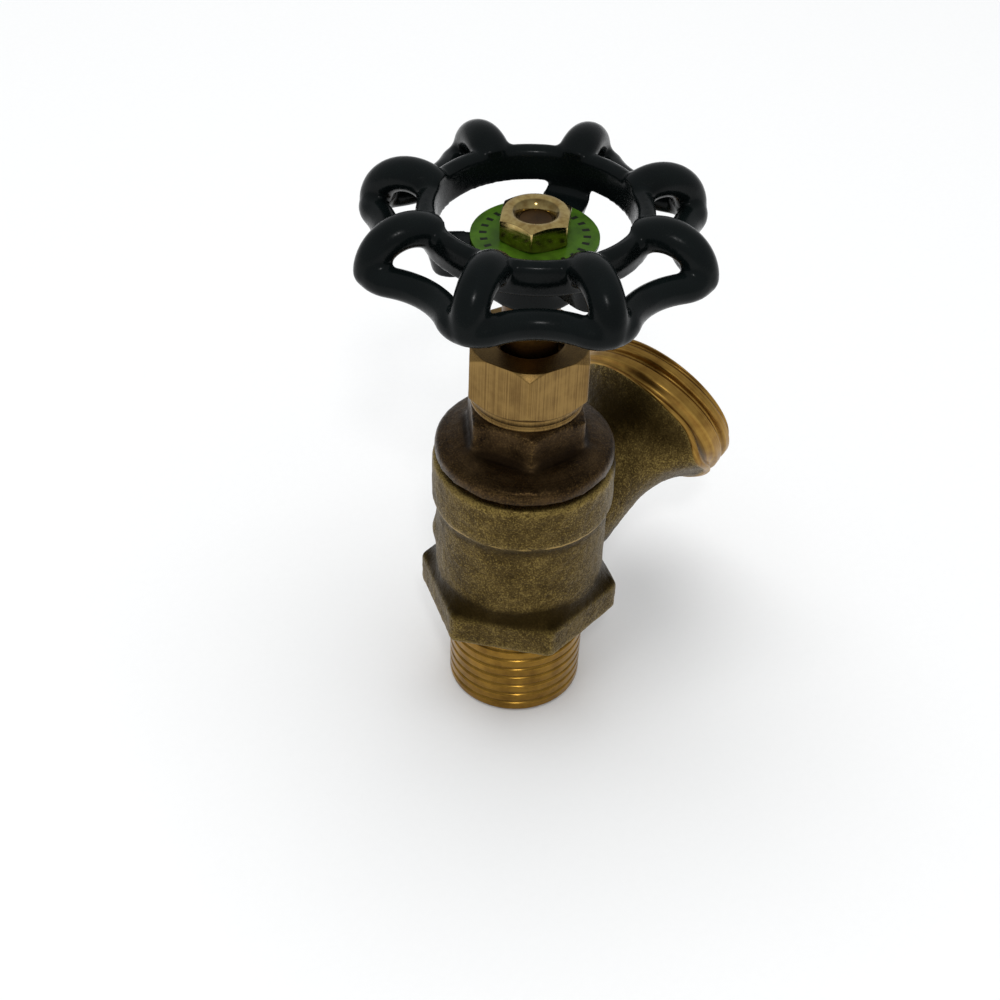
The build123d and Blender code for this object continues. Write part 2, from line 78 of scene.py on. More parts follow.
@dataclass(frozen=True)
class Line:
    """A straight line through the part that pieces turn about."""

    start: Place
    rise_deg: float

    def direction(self) -> np.ndarray:
        """The line's direction as a unit vector, in the plane of the stem and the outlet."""
        rise = math.radians(self.rise_deg)
        return np.array([math.cos(rise), 0.0, math.sin(rise)])

    def at(self, along: float) -> np.ndarray:
        """The place this far along the line."""
        return np.array(self.start) + along * self.direction()

    def sides(self) -> tuple[np.ndarray, np.ndarray]:
        """Two unit vectors across the line, a quarter turn apart, seen from its far end."""
        across = np.array([0.0, 1.0, 0.0])
        return across, np.cross(-self.direction(), across)

    def measure(self, points: np.ndarray) -> tuple[np.ndarray, np.ndarray, np.ndarray]:
        """Where points lie about the line.

        Args:
            points: places in millimetres.

        Returns:
            How far along the line, how far out from it, and the foot on it.
        """
        along = (points - np.array(self.start)) @ self.direction()
        foot = np.array(self.start) + along[:, None] * self.direction()
        return along, np.linalg.norm(points - foot, axis=1), foot


# The outlet's axis, and how far along it the mouth lies
OUTLET_LINE = Line((0.0, 0.0, 19.5), 22.0)
OUTLET_LENGTH = 37.6

# Where the hose thread's die ran back into the flare: how far, and its middle and half width
# in degrees
DIE_RUNS = ((1.2, 232.0, 42.0), (2.3, 186.0, 20.0))

# The share of the way to its neighbours' mean that a point goes in each round of smoothing
PULL = 0.5


# Materials


def linear(colour: str) -> tuple[float, float, float, float]:
    """Turns an sRGB hex colour into linear light.

    Args:
        colour: six hex digits after a hash sign.

    Returns:
        Red, green, blue and alpha.
    """
    parts = [int(colour[i:i + 2], 16) / 255 for i in (1, 3, 5)]
    light = [c / 12.92 if c <= 0.04045 else ((c + 0.055) / 1.055) ** 2.4 for c in parts]
    return (*light, 1.0)


def per(size_mm: float) -> float:
    """The texture scale at which features are about this many millimetres across."""
    return 1.0 / (size_mm * MM)


def add_node(
    tree: bpy.types.NodeTree,
    kind: str,
    inputs: dict[str | int, object] | None = None,
    **settings: object,
) -> bpy.types.Node:
    """Adds one node to a material.

    Args:
        tree: the material's nodes.
        kind: the node's type, after the words ShaderNode.
        inputs: a value, or the output socket that feeds it, for each socket named or numbered.
        settings: the node's own properties; stops is a colour ramp's list of (place, colour).

    Returns:
        The new node.
    """
    node = tree.nodes.new("ShaderNode" + kind)
    stops = settings.pop("stops", [])
    for index, (position, colour) in enumerate(stops):
        elements = node.color_ramp.elements
        stop = elements[index] if index < 2 else elements.new(position)
        stop.position = position
        stop.color = linear(colour)
    for name, value in settings.items():
        setattr(node, name, value)
    for socket, value in (inputs or {}).items():
        if isinstance(value, bpy.types.NodeSocket):
            tree.links.new(value, node.inputs[socket])
        else:
            node.inputs[socket].default_value = value
    return node


def begin_finish(
    name: str,
) -> tuple[bpy.types.Material, bpy.types.NodeTree, bpy.types.NodeSocket]:
    """Starts a finish as an empty material.

    Args:
        name: the material's name.

    Returns:
        The material, its node tree, and the socket that tells places in the part's own frame.
    """
    material = bpy.data.materials.new(name)
    material.use_nodes = True
    tree = material.node_tree
    tree.nodes.clear()
    return material, tree, add_node(tree, "TexCoord").outputs["Object"]


def end_finish(
    tree: bpy.types.NodeTree,
    colour: bpy.types.NodeSocket,
    rough: bpy.types.NodeSocket,
    height: bpy.types.NodeSocket,
    relief_mm: float,
    own: dict[str, float],
) -> None:
    """Ends a finish with its relief as bump, the shader and the output.

    Args:
        tree: the finish's nodes.
        colour: the socket of its colour.
        rough: the socket of its roughness.
        height: the socket of its relief.
        relief_mm: how many millimetres a height of 1 stands for.
        own: the numbers that stand on the shader's own sockets.
    """
    bump = add_node(tree, "Bump", {"Height": height, "Distance": relief_mm * MM, "Strength": 1.0})
    shader = add_node(tree, "BsdfPrincipled", {
        "Base Color": colour, "Roughness": rough, "Normal": bump.outputs["Normal"], **own,
    })
    add_node(tree, "OutputMaterial", {"Surface": shader.outputs[0]})


# Surfaces as arrays


@dataclass
class Skin:
    """A surface as arrays: points in millimetres, and faces of four point numbers each."""

    points: np.ndarray
    faces: np.ndarray

    def edges(self) -> np.ndarray:
        """Each pair of neighbouring points, once, from the sides of the faces."""
        sides = np.concatenate([self.faces[:, [i, (i + 1) % 4]] for i in range(4)])
        return np.unique(np.sort(sides, axis=1), axis=0)

    def normals(self) -> np.ndarray:
        """Tells how the surface faces: the cross products of its faces' diagonals, summed up.

        Returns:
            A unit normal for each point.
        """
        a, b, c, d = (self.points[self.faces[:, i]] for i in range(4))
        across = np.cross(c - a, d - b)
        count = len(self.points)
        total = np.zeros_like(self.points)
        for i in range(4):
            for axis in range(3):
                total[:, axis] += np.bincount(self.faces[:, i], across[:, axis], count)
        return total / np.maximum(np.linalg.norm(total, axis=1), 1e-12)[:, None]

    def way_to_neighbours(self) -> Callable[[], np.ndarray]:
        """Gets a surface ready for smoothing.

        Returns:
            A function that tells each point's way to the mean of its neighbours, as they stand.
        """
        edges = self.edges()
        count = len(self.points)
        ends = np.concatenate([edges[:, 0], edges[:, 1]])
        others = np.concatenate([edges[:, 1], edges[:, 0]])
        degree = np.maximum(np.bincount(ends, minlength=count), 1)[:, None]

        def way() -> np.ndarray:
            """The sum of the neighbours over their number, less the point."""
            total = [np.bincount(ends, self.points[others, axis], count) for axis in range(3)]
            return np.stack(total, axis=1) / degree - self.points

        return way


def smooth_step(value: np.ndarray, low: float, high: float) -> np.ndarray:
    """Rises from 0 at low to 1 at high, as three times the square less twice the cube."""
    share = np.clip((value - low) / (high - low), 0.0, 1.0)
    return share * share * (3.0 - 2.0 * share)


def bell(away: np.ndarray) -> np.ndarray:
    """A bell that is 1 in its middle: e to the power of minus the square."""
    return np.exp(-(away ** 2))


def soft_least(first: np.ndarray, second: np.ndarray, blend: float) -> np.ndarray:
    """The smaller of two, rounded where they cross: minus the log of their exponentials' sum."""
    return -blend * np.logaddexp(-first / blend, -second / blend)


def full_turn(columns: int) -> np.ndarray:
    """Even angles from 0 up to a full turn, which isn't repeated."""
    return np.linspace(0.0, 2 * np.pi, columns + 1)[:-1]


def die_run(turn: np.ndarray) -> np.ndarray:
    """Tells how far back the threading die ran: a bell for each of its runs.

    Args:
        turn: angles round the outlet's line.

    Returns:
        How far at each, in millimetres.
    """
    total = np.zeros_like(turn)
    for most, middle, width in DIE_RUNS:
        away = np.mod(np.degrees(turn) - middle + 180.0, 360.0) - 180.0
        total += most * bell(away / width)
    return total


def ring_faces(rows: int, columns: int) -> np.ndarray:
    """Faces of a grid that closes on itself both ways, as a ring's skin does.

    Args:
        rows: how many rows of points; the last joins the first.
        columns: how many points in each row, round the axis.

    Returns:
        Four point numbers for each face, facing outward where rows rise along the axis.
    """
    row = np.arange(rows)[:, None]
    column = np.arange(columns)[None, :]
    up = (row + 1) % rows
    beside = (column + 1) % columns
    corners = [(row, column), (row, beside), (up, beside), (up, column)]
    return np.stack([(r * columns + c).ravel() for r, c in corners], axis=1)


def lattice_noise(points: np.ndarray, cell: float, seed: int) -> np.ndarray:
    """Smooth noise: a random number at each corner of a cubic lattice, blended by smooth steps.

    Args:
        points: where the noise is wanted, in millimetres.
        cell: the lattice's spacing, in millimetres.
        seed: picks the random numbers.

    Returns:
        One value from -1 to 1 for each point.
    """
    scaled = points / cell
    low = np.floor(scaled.min(axis=0))
    base = np.floor(scaled - low).astype(int)
    share = scaled - low - base
    share = share * share * (3.0 - 2.0 * share)
    values = np.random.default_rng(seed).uniform(-1.0, 1.0, base.max(axis=0) + 2)
    total = np.zeros(len(points))
    for corner in np.ndindex(2, 2, 2):
        step = np.array(corner)
        weight = np.prod(np.where(step == 1, share, 1.0 - share), axis=1)
        at = base + step
        total += weight * values[at[:, 0], at[:, 1], at[:, 2]]
    return total


def relax(skin: Skin, rounds: int, push: float = 0.0, weight: np.ndarray | float = 1.0) -> None:
    """Smooths a surface: each point goes towards its neighbours' mean, then back by the push.

    Args:
        skin: the surface, changed in place.
        rounds: how often.
        push: the share of the way back, which keeps the volume; 0 lets it shrink.
        weight: how much each point takes part, from 0 to 1.
    """
    way = skin.way_to_neighbours()
    share = np.broadcast_to(np.asarray(weight, float), (len(skin.points),))[:, None]
    for _ in range(rounds):
        for step in (PULL, -push):
            if step:
                skin.points += step * share * way()


def fill_creases(skin: Skin, rounds: int, most: float) -> None:
    """Fills inner corners as a casting's fillets do, and leaves outer edges alone.

    In each round a point that lies below its neighbours' mean, seen along its normal, goes
    halfway to it.

    Args:
        skin: the surface, changed in place.
        rounds: how often; the fillet's radius grows with the square root.
        most: the furthest that a point may move, in millimetres.
    """
    way = skin.way_to_neighbours()
    start = skin.points.copy()
    for _ in range(rounds):
        towards = way()
        inner = np.einsum("ij,ij->i", towards, skin.normals()) > 0
        moved = skin.points + PULL * towards * inner[:, None] - start
        length = np.maximum(np.linalg.norm(moved, axis=1), 1e-9)[:, None]
        skin.points = start + moved * np.minimum(1.0, most / length)


def merged_copy(node: bpy.types.Object) -> bpy.types.Mesh:
    """Copies a CAD node's mesh and merges its doubled points.

    Args:
        node: the CAD node.

    Returns:
        The copy, in millimetres.
    """
    mesh = node.data.copy()
    work = bmesh.new()
    work.from_mesh(mesh)
    bmesh.ops.scale(work, vec=(1 / MM,) * 3, verts=work.verts)
    bmesh.ops.remove_doubles(work, verts=work.verts, dist=1e-4)
    work.to_mesh(mesh)
    work.free()
    return mesh


def mesh_points(mesh: bpy.types.Mesh) -> np.ndarray:
    """Reads a mesh's points.

    Args:
        mesh: the mesh.

    Returns:
        An array of three columns.
    """
    flat = np.empty(len(mesh.vertices) * 3)
    mesh.vertices.foreach_get("co", flat)
    return flat.reshape(-1, 3)


def remeshed(mesh: bpy.types.Mesh, voxel: float) -> Skin:
    """Rebuilds a closed mesh from even voxels, so that it can be smoothed like a casting.

    Args:
        mesh: a closed mesh in millimetres, used up here.
        voxel: the voxels' size in millimetres.

    Returns:
        The rebuilt surface.
    """
    holder = bpy.data.objects.new("remesh_work", mesh)
    bpy.context.scene.collection.objects.link(holder)
    modifier = holder.modifiers.new("voxels", "REMESH")
    modifier.mode = "VOXEL"
    modifier.voxel_size = voxel
    bpy.context.view_layer.update()
    finished = holder.evaluated_get(bpy.context.evaluated_depsgraph_get())
    rebuilt = bpy.data.meshes.new_from_object(finished)
    points = mesh_points(rebuilt)
    faces = np.empty(len(rebuilt.loops), dtype=np.int32)
    rebuilt.loops.foreach_get("vertex_index", faces)
    bpy.data.objects.remove(holder)
    bpy.data.meshes.remove(mesh)
    bpy.data.meshes.remove(rebuilt)
    return Skin(points, faces.reshape(-1, 4).astype(int))


def place(
    name: str,
    skin: Skin,
    carrier: Carrier,
    material: bpy.types.Material,
    shades: dict[str, np.ndarray] | None = None,
) -> bpy.types.Object:
    """Makes an object of a surface and lets it ride on its body.

    Args:
        name: the piece's name.
        skin: its surface.
        carrier: the body that it rides on.
        material: its finish.
        shades: named values at the points that the finish reads.

    Returns:
        The new object.
    """
    mesh = bpy.data.meshes.new(name)
    mesh.vertices.add(len(skin.points))
    mesh.vertices.foreach_set("co", (skin.points * MM).ravel())
    mesh.loops.add(skin.faces.size)
    mesh.loops.foreach_set("vertex_index", skin.faces.ravel())
    mesh.polygons.add(len(skin.faces))
    mesh.polygons.foreach_set("loop_start", np.arange(0, skin.faces.size, 4))
    mesh.polygons.foreach_set("use_smooth", np.ones(len(skin.faces), bool))
    mesh.update(calc_edges=True)
    for shade, values in (shades or {}).items():
        layer = mesh.attributes.new(shade, "FLOAT", "POINT")
        layer.data.foreach_set("value", values.astype(np.float32))
    mesh.materials.append(material)
    piece = bpy.data.objects.new(name, mesh)
    bpy.context.scene.collection.objects.link(piece)
    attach(piece, carrier.value)
    return piece


# Finishes


@dataclass(frozen=True)
class CastBrass:
    """Sand-cast brass as it left the mould: a dull bronze skin that the sand left rough.

    The eye sees a brown metal with fine golden grains where high spots were rubbed bright, a thin
    painted gold highlight along the collar's lower lip, and painted shade in the corners. The tone
    sums shares of patterns about a mean, and a ramp turns it into the colours of pit, skin and
    rubbed metal. A span tells between which values a layer comes in. The grain is that of foundry
    sand, a quarter of a millimetre, and its clumps are a few grains wide.
    """

    name: str
    # The pits' colour is also the colour of the painted shade in hollows
    pit_and_shade: str
    skin: str
    rubbed: str
    grain: str
    # The colour of the painted gold highlight along the collar's lower lip
    lip_highlight: str = "#b79a5a"
    mean_tone: float = 0.6
    cloud_share: float = 0.34
    clump_share: float = 0.2
    mottle: float = 0.52
    edge_lift: float = 0.12
    ring_share: float = 0.45
    tone_stops: tuple[float, float, float] = (0.4, 0.58, 0.74)
    edge_bright: float = 0.16
    grain_strength: float = 0.5
    grain_span: Span = (0.57, 0.74)
    # How strongly, and between which hollow values, painted shade darkens towards the pits' colour;
    # then where the painted lip highlight comes in
    hollow_shade: float = 0.9
    hollow_shade_span: Span = (0.03, 0.42)
    lip_highlight_span: Span = (0.22, 0.5)
    ring_mm: float = 0.0
    grain_mm: float = 0.26
    clump_grains: float = 3.4
    cloud_mm: float = 4.5
    roughness: float = 0.5
    rough_swing: float = 0.12
    rough_span: Span = (0.3, 0.75)
    relief_mm: float = 0.07
    clump_relief: float = 1.4

    def make(self) -> bpy.types.Material:
        """Builds the material: clouded skin tones, bright grains, painted shade and highlight, and
        bump.

        Returns:
            The new material.
        """
        material, tree, where = begin_finish(self.name)
        clump_mm = self.grain_mm * self.clump_grains
        cloud, clump, grain = (
            add_node(tree, "TexNoise", {
                "Vector": where, "Scale": per(size), "Detail": detail, "Roughness": rough,
            }).outputs["Fac"]
            for size, detail, rough in (
                (self.cloud_mm, 3.0, 0.5), (clump_mm, 2.0, 0.5), (self.grain_mm, 2.0, 0.7),
            )
        )
        # hollow drives the painted shade in hollows, and the third attribute a painted gold
        # highlight on the collar's lip
        edge, hollow, lip_highlight = (
            add_node(tree, "Attribute", attribute_name=name).outputs["Fac"]
            for name in ("edge", "hollow", "lip_highlight")
        )
        patterns = [
            (cloud, self.cloud_share), (clump, self.clump_share), (grain, self.mottle),
            (edge, self.edge_lift),
        ]
        if self.ring_mm:
            flat = add_node(
                tree, "VectorMath", {0: where, 1: (1.0, 1.0, 0.0)}, operation="MULTIPLY"
            )
            out = add_node(tree, "VectorMath", {0: flat.outputs[0]}, operation="LENGTH")
            line = add_node(tree, "CombineXYZ", {"X": out.outputs["Value"]})
            ring = add_node(tree, "TexNoise", {
                "Vector": line.outputs[0], "Scale": per(self.ring_mm),
            })
            patterns.append((ring.outputs["Fac"], self.ring_share))
        tone = (2 * self.mean_tone - self.cloud_share - self.clump_share - self.mottle) / 2
        for pattern, share in patterns:
            tone = add_node(
                tree, "Math", {0: pattern, 1: share, 2: tone}, operation="MULTIPLY_ADD"
            ).outputs[0]
        if self.ring_mm:
            tone = add_node(
                tree, "Math", {0: tone, 1: self.ring_share / 2}, operation="SUBTRACT"
            ).outputs[0]
        tints = (self.pit_and_shade, self.skin, self.rubbed)
        ramp = add_node(tree, "ValToRGB", {"Fac": tone}, stops=list(zip(self.tone_stops, tints)))
        lift = add_node(
            tree, "Math", {0: edge, 1: self.edge_bright, 2: grain}, operation="MULTIPLY_ADD"
        ).outputs[0]
        lip_highlight_grains = add_node(tree, "Math", {0: lip_highlight, 1: grain}, operation="MULTIPLY").outputs[0]
        colour = ramp.outputs["Color"]
        # Layers: bright grains on proud places, painted shade in hollows in the pits' colour, and a
        # painted gold highlight on the collar's lip
        for pattern, (low, high), most, tint in (
            (lift, self.grain_span, self.grain_strength, self.grain),
            (hollow, self.hollow_shade_span, self.hollow_shade, self.pit_and_shade),
            (lip_highlight_grains, self.lip_highlight_span, 1.0, self.lip_highlight),
        ):
            share = add_node(tree, "MapRange", {
                "Value": pattern, "From Min": low, "From Max": high, "To Max": most,
            })
            colour = add_node(
                tree, "Mix", {0: share.outputs[0], 6: colour, 7: linear(tint)}, data_type="RGBA"
            ).outputs[2]
        rough = add_node(tree, "MapRange", {
            "Value": lift, "From Min": self.rough_span[0], "From Max": self.rough_span[1],
            "To Min": self.roughness + self.rough_swing,
            "To Max": self.roughness - self.rough_swing,
        })
        height = add_node(
            tree, "Math", {0: clump, 1: self.clump_relief, 2: grain}, operation="MULTIPLY_ADD"
        )
        end_finish(
            tree, colour, rough.outputs[0], height.outputs[0], self.relief_mm, {"Metallic": 1.0}
        )
        return material


class Grain(Enum):
    """Which way a turned surface's tool marks run: the pattern changes along these axes alone."""

    ROUND_STEM = (0.0, 0.0, 1.0)
    ALONG_STEM = (1.0, 1.0, 0.0)
    ROUND_OUTLET = (0.927, 0.0, 0.375)


@dataclass(frozen=True)
class TurnedBrass:
    """Brass cut on a lathe: bright gold metal with fine tool marks and faint finger tarnish.

    The eye sees sharp golden highlights that the marks stretch out, and darker gold painted as
    shade in grooves and bores.
    Real marks lie about a tenth of a millimetre apart, too fine to show, so they are drawn as
    wide as mark_mm says. The tone sums shares of streaks and haze about one half.
    """

    name: str
    bright: str
    tarnish: str
    # The colour of the painted shade in grooves and bores
    groove: str
    marks: Grain = Grain.ROUND_STEM
    mark_mm: float = 0.16
    streak: float = 0.5
    haze: float = 0.7
    haze_mm: float = 3.2
    tone_stops: Span = (0.34, 0.62)
    roughness: float = 0.24
    rough_swing: Span = (-0.05, 0.12)
    rough_span: Span = (0.3, 0.7)
    relief_mm: float = 0.012

    def make(self) -> bpy.types.Material:
        """Builds the material: tarnish clouds, painted shade in grooves, and marks as bands across
        an axis.

        Returns:
            The new material.
        """
        material, tree, where = begin_finish(self.name)
        weights = self.marks.value
        if self.marks is Grain.ALONG_STEM:
            across = add_node(tree, "VectorMath", {0: where, 1: weights}, operation="MULTIPLY")
        else:
            far = add_node(tree, "VectorMath", {0: where, 1: weights}, operation="DOT_PRODUCT")
            across = add_node(tree, "CombineXYZ", {"X": far.outputs["Value"]})
        line, cloud = (
            add_node(tree, "TexNoise", {
                "Vector": vector, "Scale": per(size), "Detail": detail, "Roughness": rough,
            }).outputs["Fac"]
            for vector, size, detail, rough in (
                (across.outputs[0], self.mark_mm, 3.0, 0.7), (where, self.haze_mm, 4.0, 0.6),
            )
        )
        tone = (1 - self.haze - self.streak) / 2
        for pattern, share in ((line, self.streak), (cloud, self.haze)):
            tone = add_node(
                tree, "Math", {0: pattern, 1: share, 2: tone}, operation="MULTIPLY_ADD"
            ).outputs[0]
        tints = (self.tarnish, self.bright)
        ramp = add_node(tree, "ValToRGB", {"Fac": tone}, stops=list(zip(self.tone_stops, tints)))
        # Painted shade: the groove attribute darkens the colour towards the groove colour in thread
        # grooves and nut bores
        depth = add_node(tree, "Attribute", attribute_name="groove").outputs["Fac"]
        colour = add_node(
            tree, "Mix", {0: depth, 6: ramp.outputs["Color"], 7: linear(self.groove)},
            data_type="RGBA",
        )
        rough = add_node(tree, "MapRange", {
            "Value": line, "From Min": self.rough_span[0], "From Max": self.rough_span[1],
            "To Min": self.roughness + self.rough_swing[0],
            "To Max": self.roughness + self.rough_swing[1],
        })
        end_finish(
            tree, colour.outputs[2], rough.outputs[0], line, self.relief_mm, {"Metallic": 1.0}
        )
        return material


@dataclass(frozen=True)
class BlackEnamel:
    """Thick stoving enamel dipped over a zinc casting: wet black gloss with a slow ripple.

    The eye sees near black with a cold blue-green tint, and soft white reflections that bend.
    Dust in the gloss is finer than it is drawn here, and wouldn't show.
    """

    name: str = "black_stoving_enamel"
    paint: str = "#070b0b"
    thin: str = "#0c1111"
    tone_stops: Span = (0.35, 0.7)
    gloss: float = 0.1
    cloud_mm: float = 6.0
    ripple_mm: float = 1.6
    relief_mm: float = 0.02
    dust_mm: float = 0.3
    dust_span: Span = (0.45, 0.75)
    dust_rough: float = 0.2
    roughness: float = 0.18

    def make(self) -> bpy.types.Material:
        """Builds the material: two blacks in clouds, a ripple as bump, dust in the gloss.

        Returns:
            The new material.
        """
        material, tree, where = begin_finish(self.name)
        cloud, ripple, dust = (
            add_node(tree, "TexNoise", {
                "Vector": where, "Scale": per(size), "Detail": detail,
            }).outputs["Fac"]
            for size, detail in (
                (self.cloud_mm, 3.0), (self.ripple_mm, 1.5), (self.dust_mm, 2.0),
            )
        )
        tints = (self.paint, self.thin)
        ramp = add_node(tree, "ValToRGB", {"Fac": cloud}, stops=list(zip(self.tone_stops, tints)))
        rough = add_node(tree, "MapRange", {
            "Value": dust, "From Min": self.dust_span[0], "From Max": self.dust_span[1],
            "To Min": self.roughness, "To Max": self.roughness + self.dust_rough,
        })
        end_finish(
            tree, ramp.outputs["Color"], rough.outputs[0], ripple, self.relief_mm,
            {"IOR": 1.5, "Specular IOR Level": self.gloss},
        )
        return material


@dataclass(frozen=True)
class Moulded:
    """Paint, fibre, rubber or packing: a plain coloured stuff with its own grain.

    The eye sees an even dull colour that mottles, and a fine tooth that breaks the highlight.
    The real fibres and fillers are finer than grain_mm, and are drawn coarser so that they show.
    """

    name: str
    low: str
    high: str
    grain_mm: float
    roughness: float
    relief_mm: float = 0.02
    tone_stops: Span = (0.32, 0.68)
    rough_swing: float = 0.08

    def make(self) -> bpy.types.Material:
        """Builds the material: two tones mixed by grain, the same grain as bump and roughness.

        Returns:
            The new material.
        """
        material, tree, where = begin_finish(self.name)
        grain = add_node(tree, "TexNoise", {
            "Vector": where, "Scale": per(self.grain_mm), "Detail": 4.0,
        }).outputs["Fac"]
        tints = (self.low, self.high)
        ramp = add_node(tree, "ValToRGB", {"Fac": grain}, stops=list(zip(self.tone_stops, tints)))
        rough = add_node(tree, "MapRange", {
            "Value": grain, "To Min": self.roughness - self.rough_swing,
            "To Max": self.roughness + self.rough_swing,
        })
        end_finish(tree, ramp.outputs["Color"], rough.outputs[0], grain, self.relief_mm, {})
        return material


@dataclass(frozen=True)
class SignPaint:
    """Green enamel sign paint on a thin steel disc, with a plain ring of dark ticks on it.

    The eye sees a flat dark green that handling has dulled in patches, and crisp small marks.
    """

    name: str = "green_sign_paint"
    low: str = "#2e4a0c"
    high: str = "#3f6112"
    ink: str = "#10160a"
    tone_stops: Span = (0.35, 0.65)
    patch_mm: float = 2.2
    ticks: int = 26
    tick_share: float = 0.36
    ring_from: float = 6.35
    ring_to: float = 7.35
    gloss: float = 0.16
    roughness: float = 0.34
    rough_swing: Span = (-0.08, 0.12)
    relief_mm: float = 0.01

    def make(self) -> bpy.types.Material:
        """Builds the material: greens in patches, ticks where turn and radius both fall inside.

        Returns:
            The new material.
        """
        material, tree, where = begin_finish(self.name)
        patch = add_node(tree, "TexNoise", {
            "Vector": where, "Scale": per(self.patch_mm), "Detail": 4.0,
        }).outputs["Fac"]
        tints = (self.low, self.high)
        green = add_node(tree, "ValToRGB", {"Fac": patch}, stops=list(zip(self.tone_stops, tints)))
        part = add_node(tree, "SeparateXYZ", {0: where}).outputs
        turn = add_node(tree, "Math", {0: part["Y"], 1: part["X"]}, operation="ARCTAN2")
        for operation, numbers in (
            ("MULTIPLY", {1: self.ticks / (2 * math.pi)}),
            ("WRAP", {1: 1.0, 2: 0.0}),
            ("LESS_THAN", {1: self.tick_share}),
        ):
            turn = add_node(tree, "Math", {0: turn.outputs[0], **numbers}, operation=operation)
        flat = add_node(tree, "CombineXYZ", {"X": part["X"], "Y": part["Y"]})
        radius = add_node(tree, "VectorMath", {0: flat.outputs[0]}, operation="LENGTH")
        middle = (self.ring_from + self.ring_to) / 2 * MM
        half = (self.ring_to - self.ring_from) / 2 * MM
        band = add_node(
            tree, "Math", {0: radius.outputs["Value"], 1: middle, 2: half}, operation="COMPARE"
        )
        mark = add_node(
            tree, "Math", {0: turn.outputs[0], 1: band.outputs[0]}, operation="MULTIPLY"
        )
        colour = add_node(
            tree, "Mix", {0: mark.outputs[0], 6: green.outputs["Color"], 7: linear(self.ink)},
            data_type="RGBA",
        )
        rough = add_node(tree, "MapRange", {
            "Value": patch, "To Min": self.roughness + self.rough_swing[0],
            "To Max": self.roughness + self.rough_swing[1],
        })
        end_finish(
            tree, colour.outputs[2], rough.outputs[0], patch, self.relief_mm,
            {"Specular IOR Level": self.gloss},
        )
        return material


# Pieces


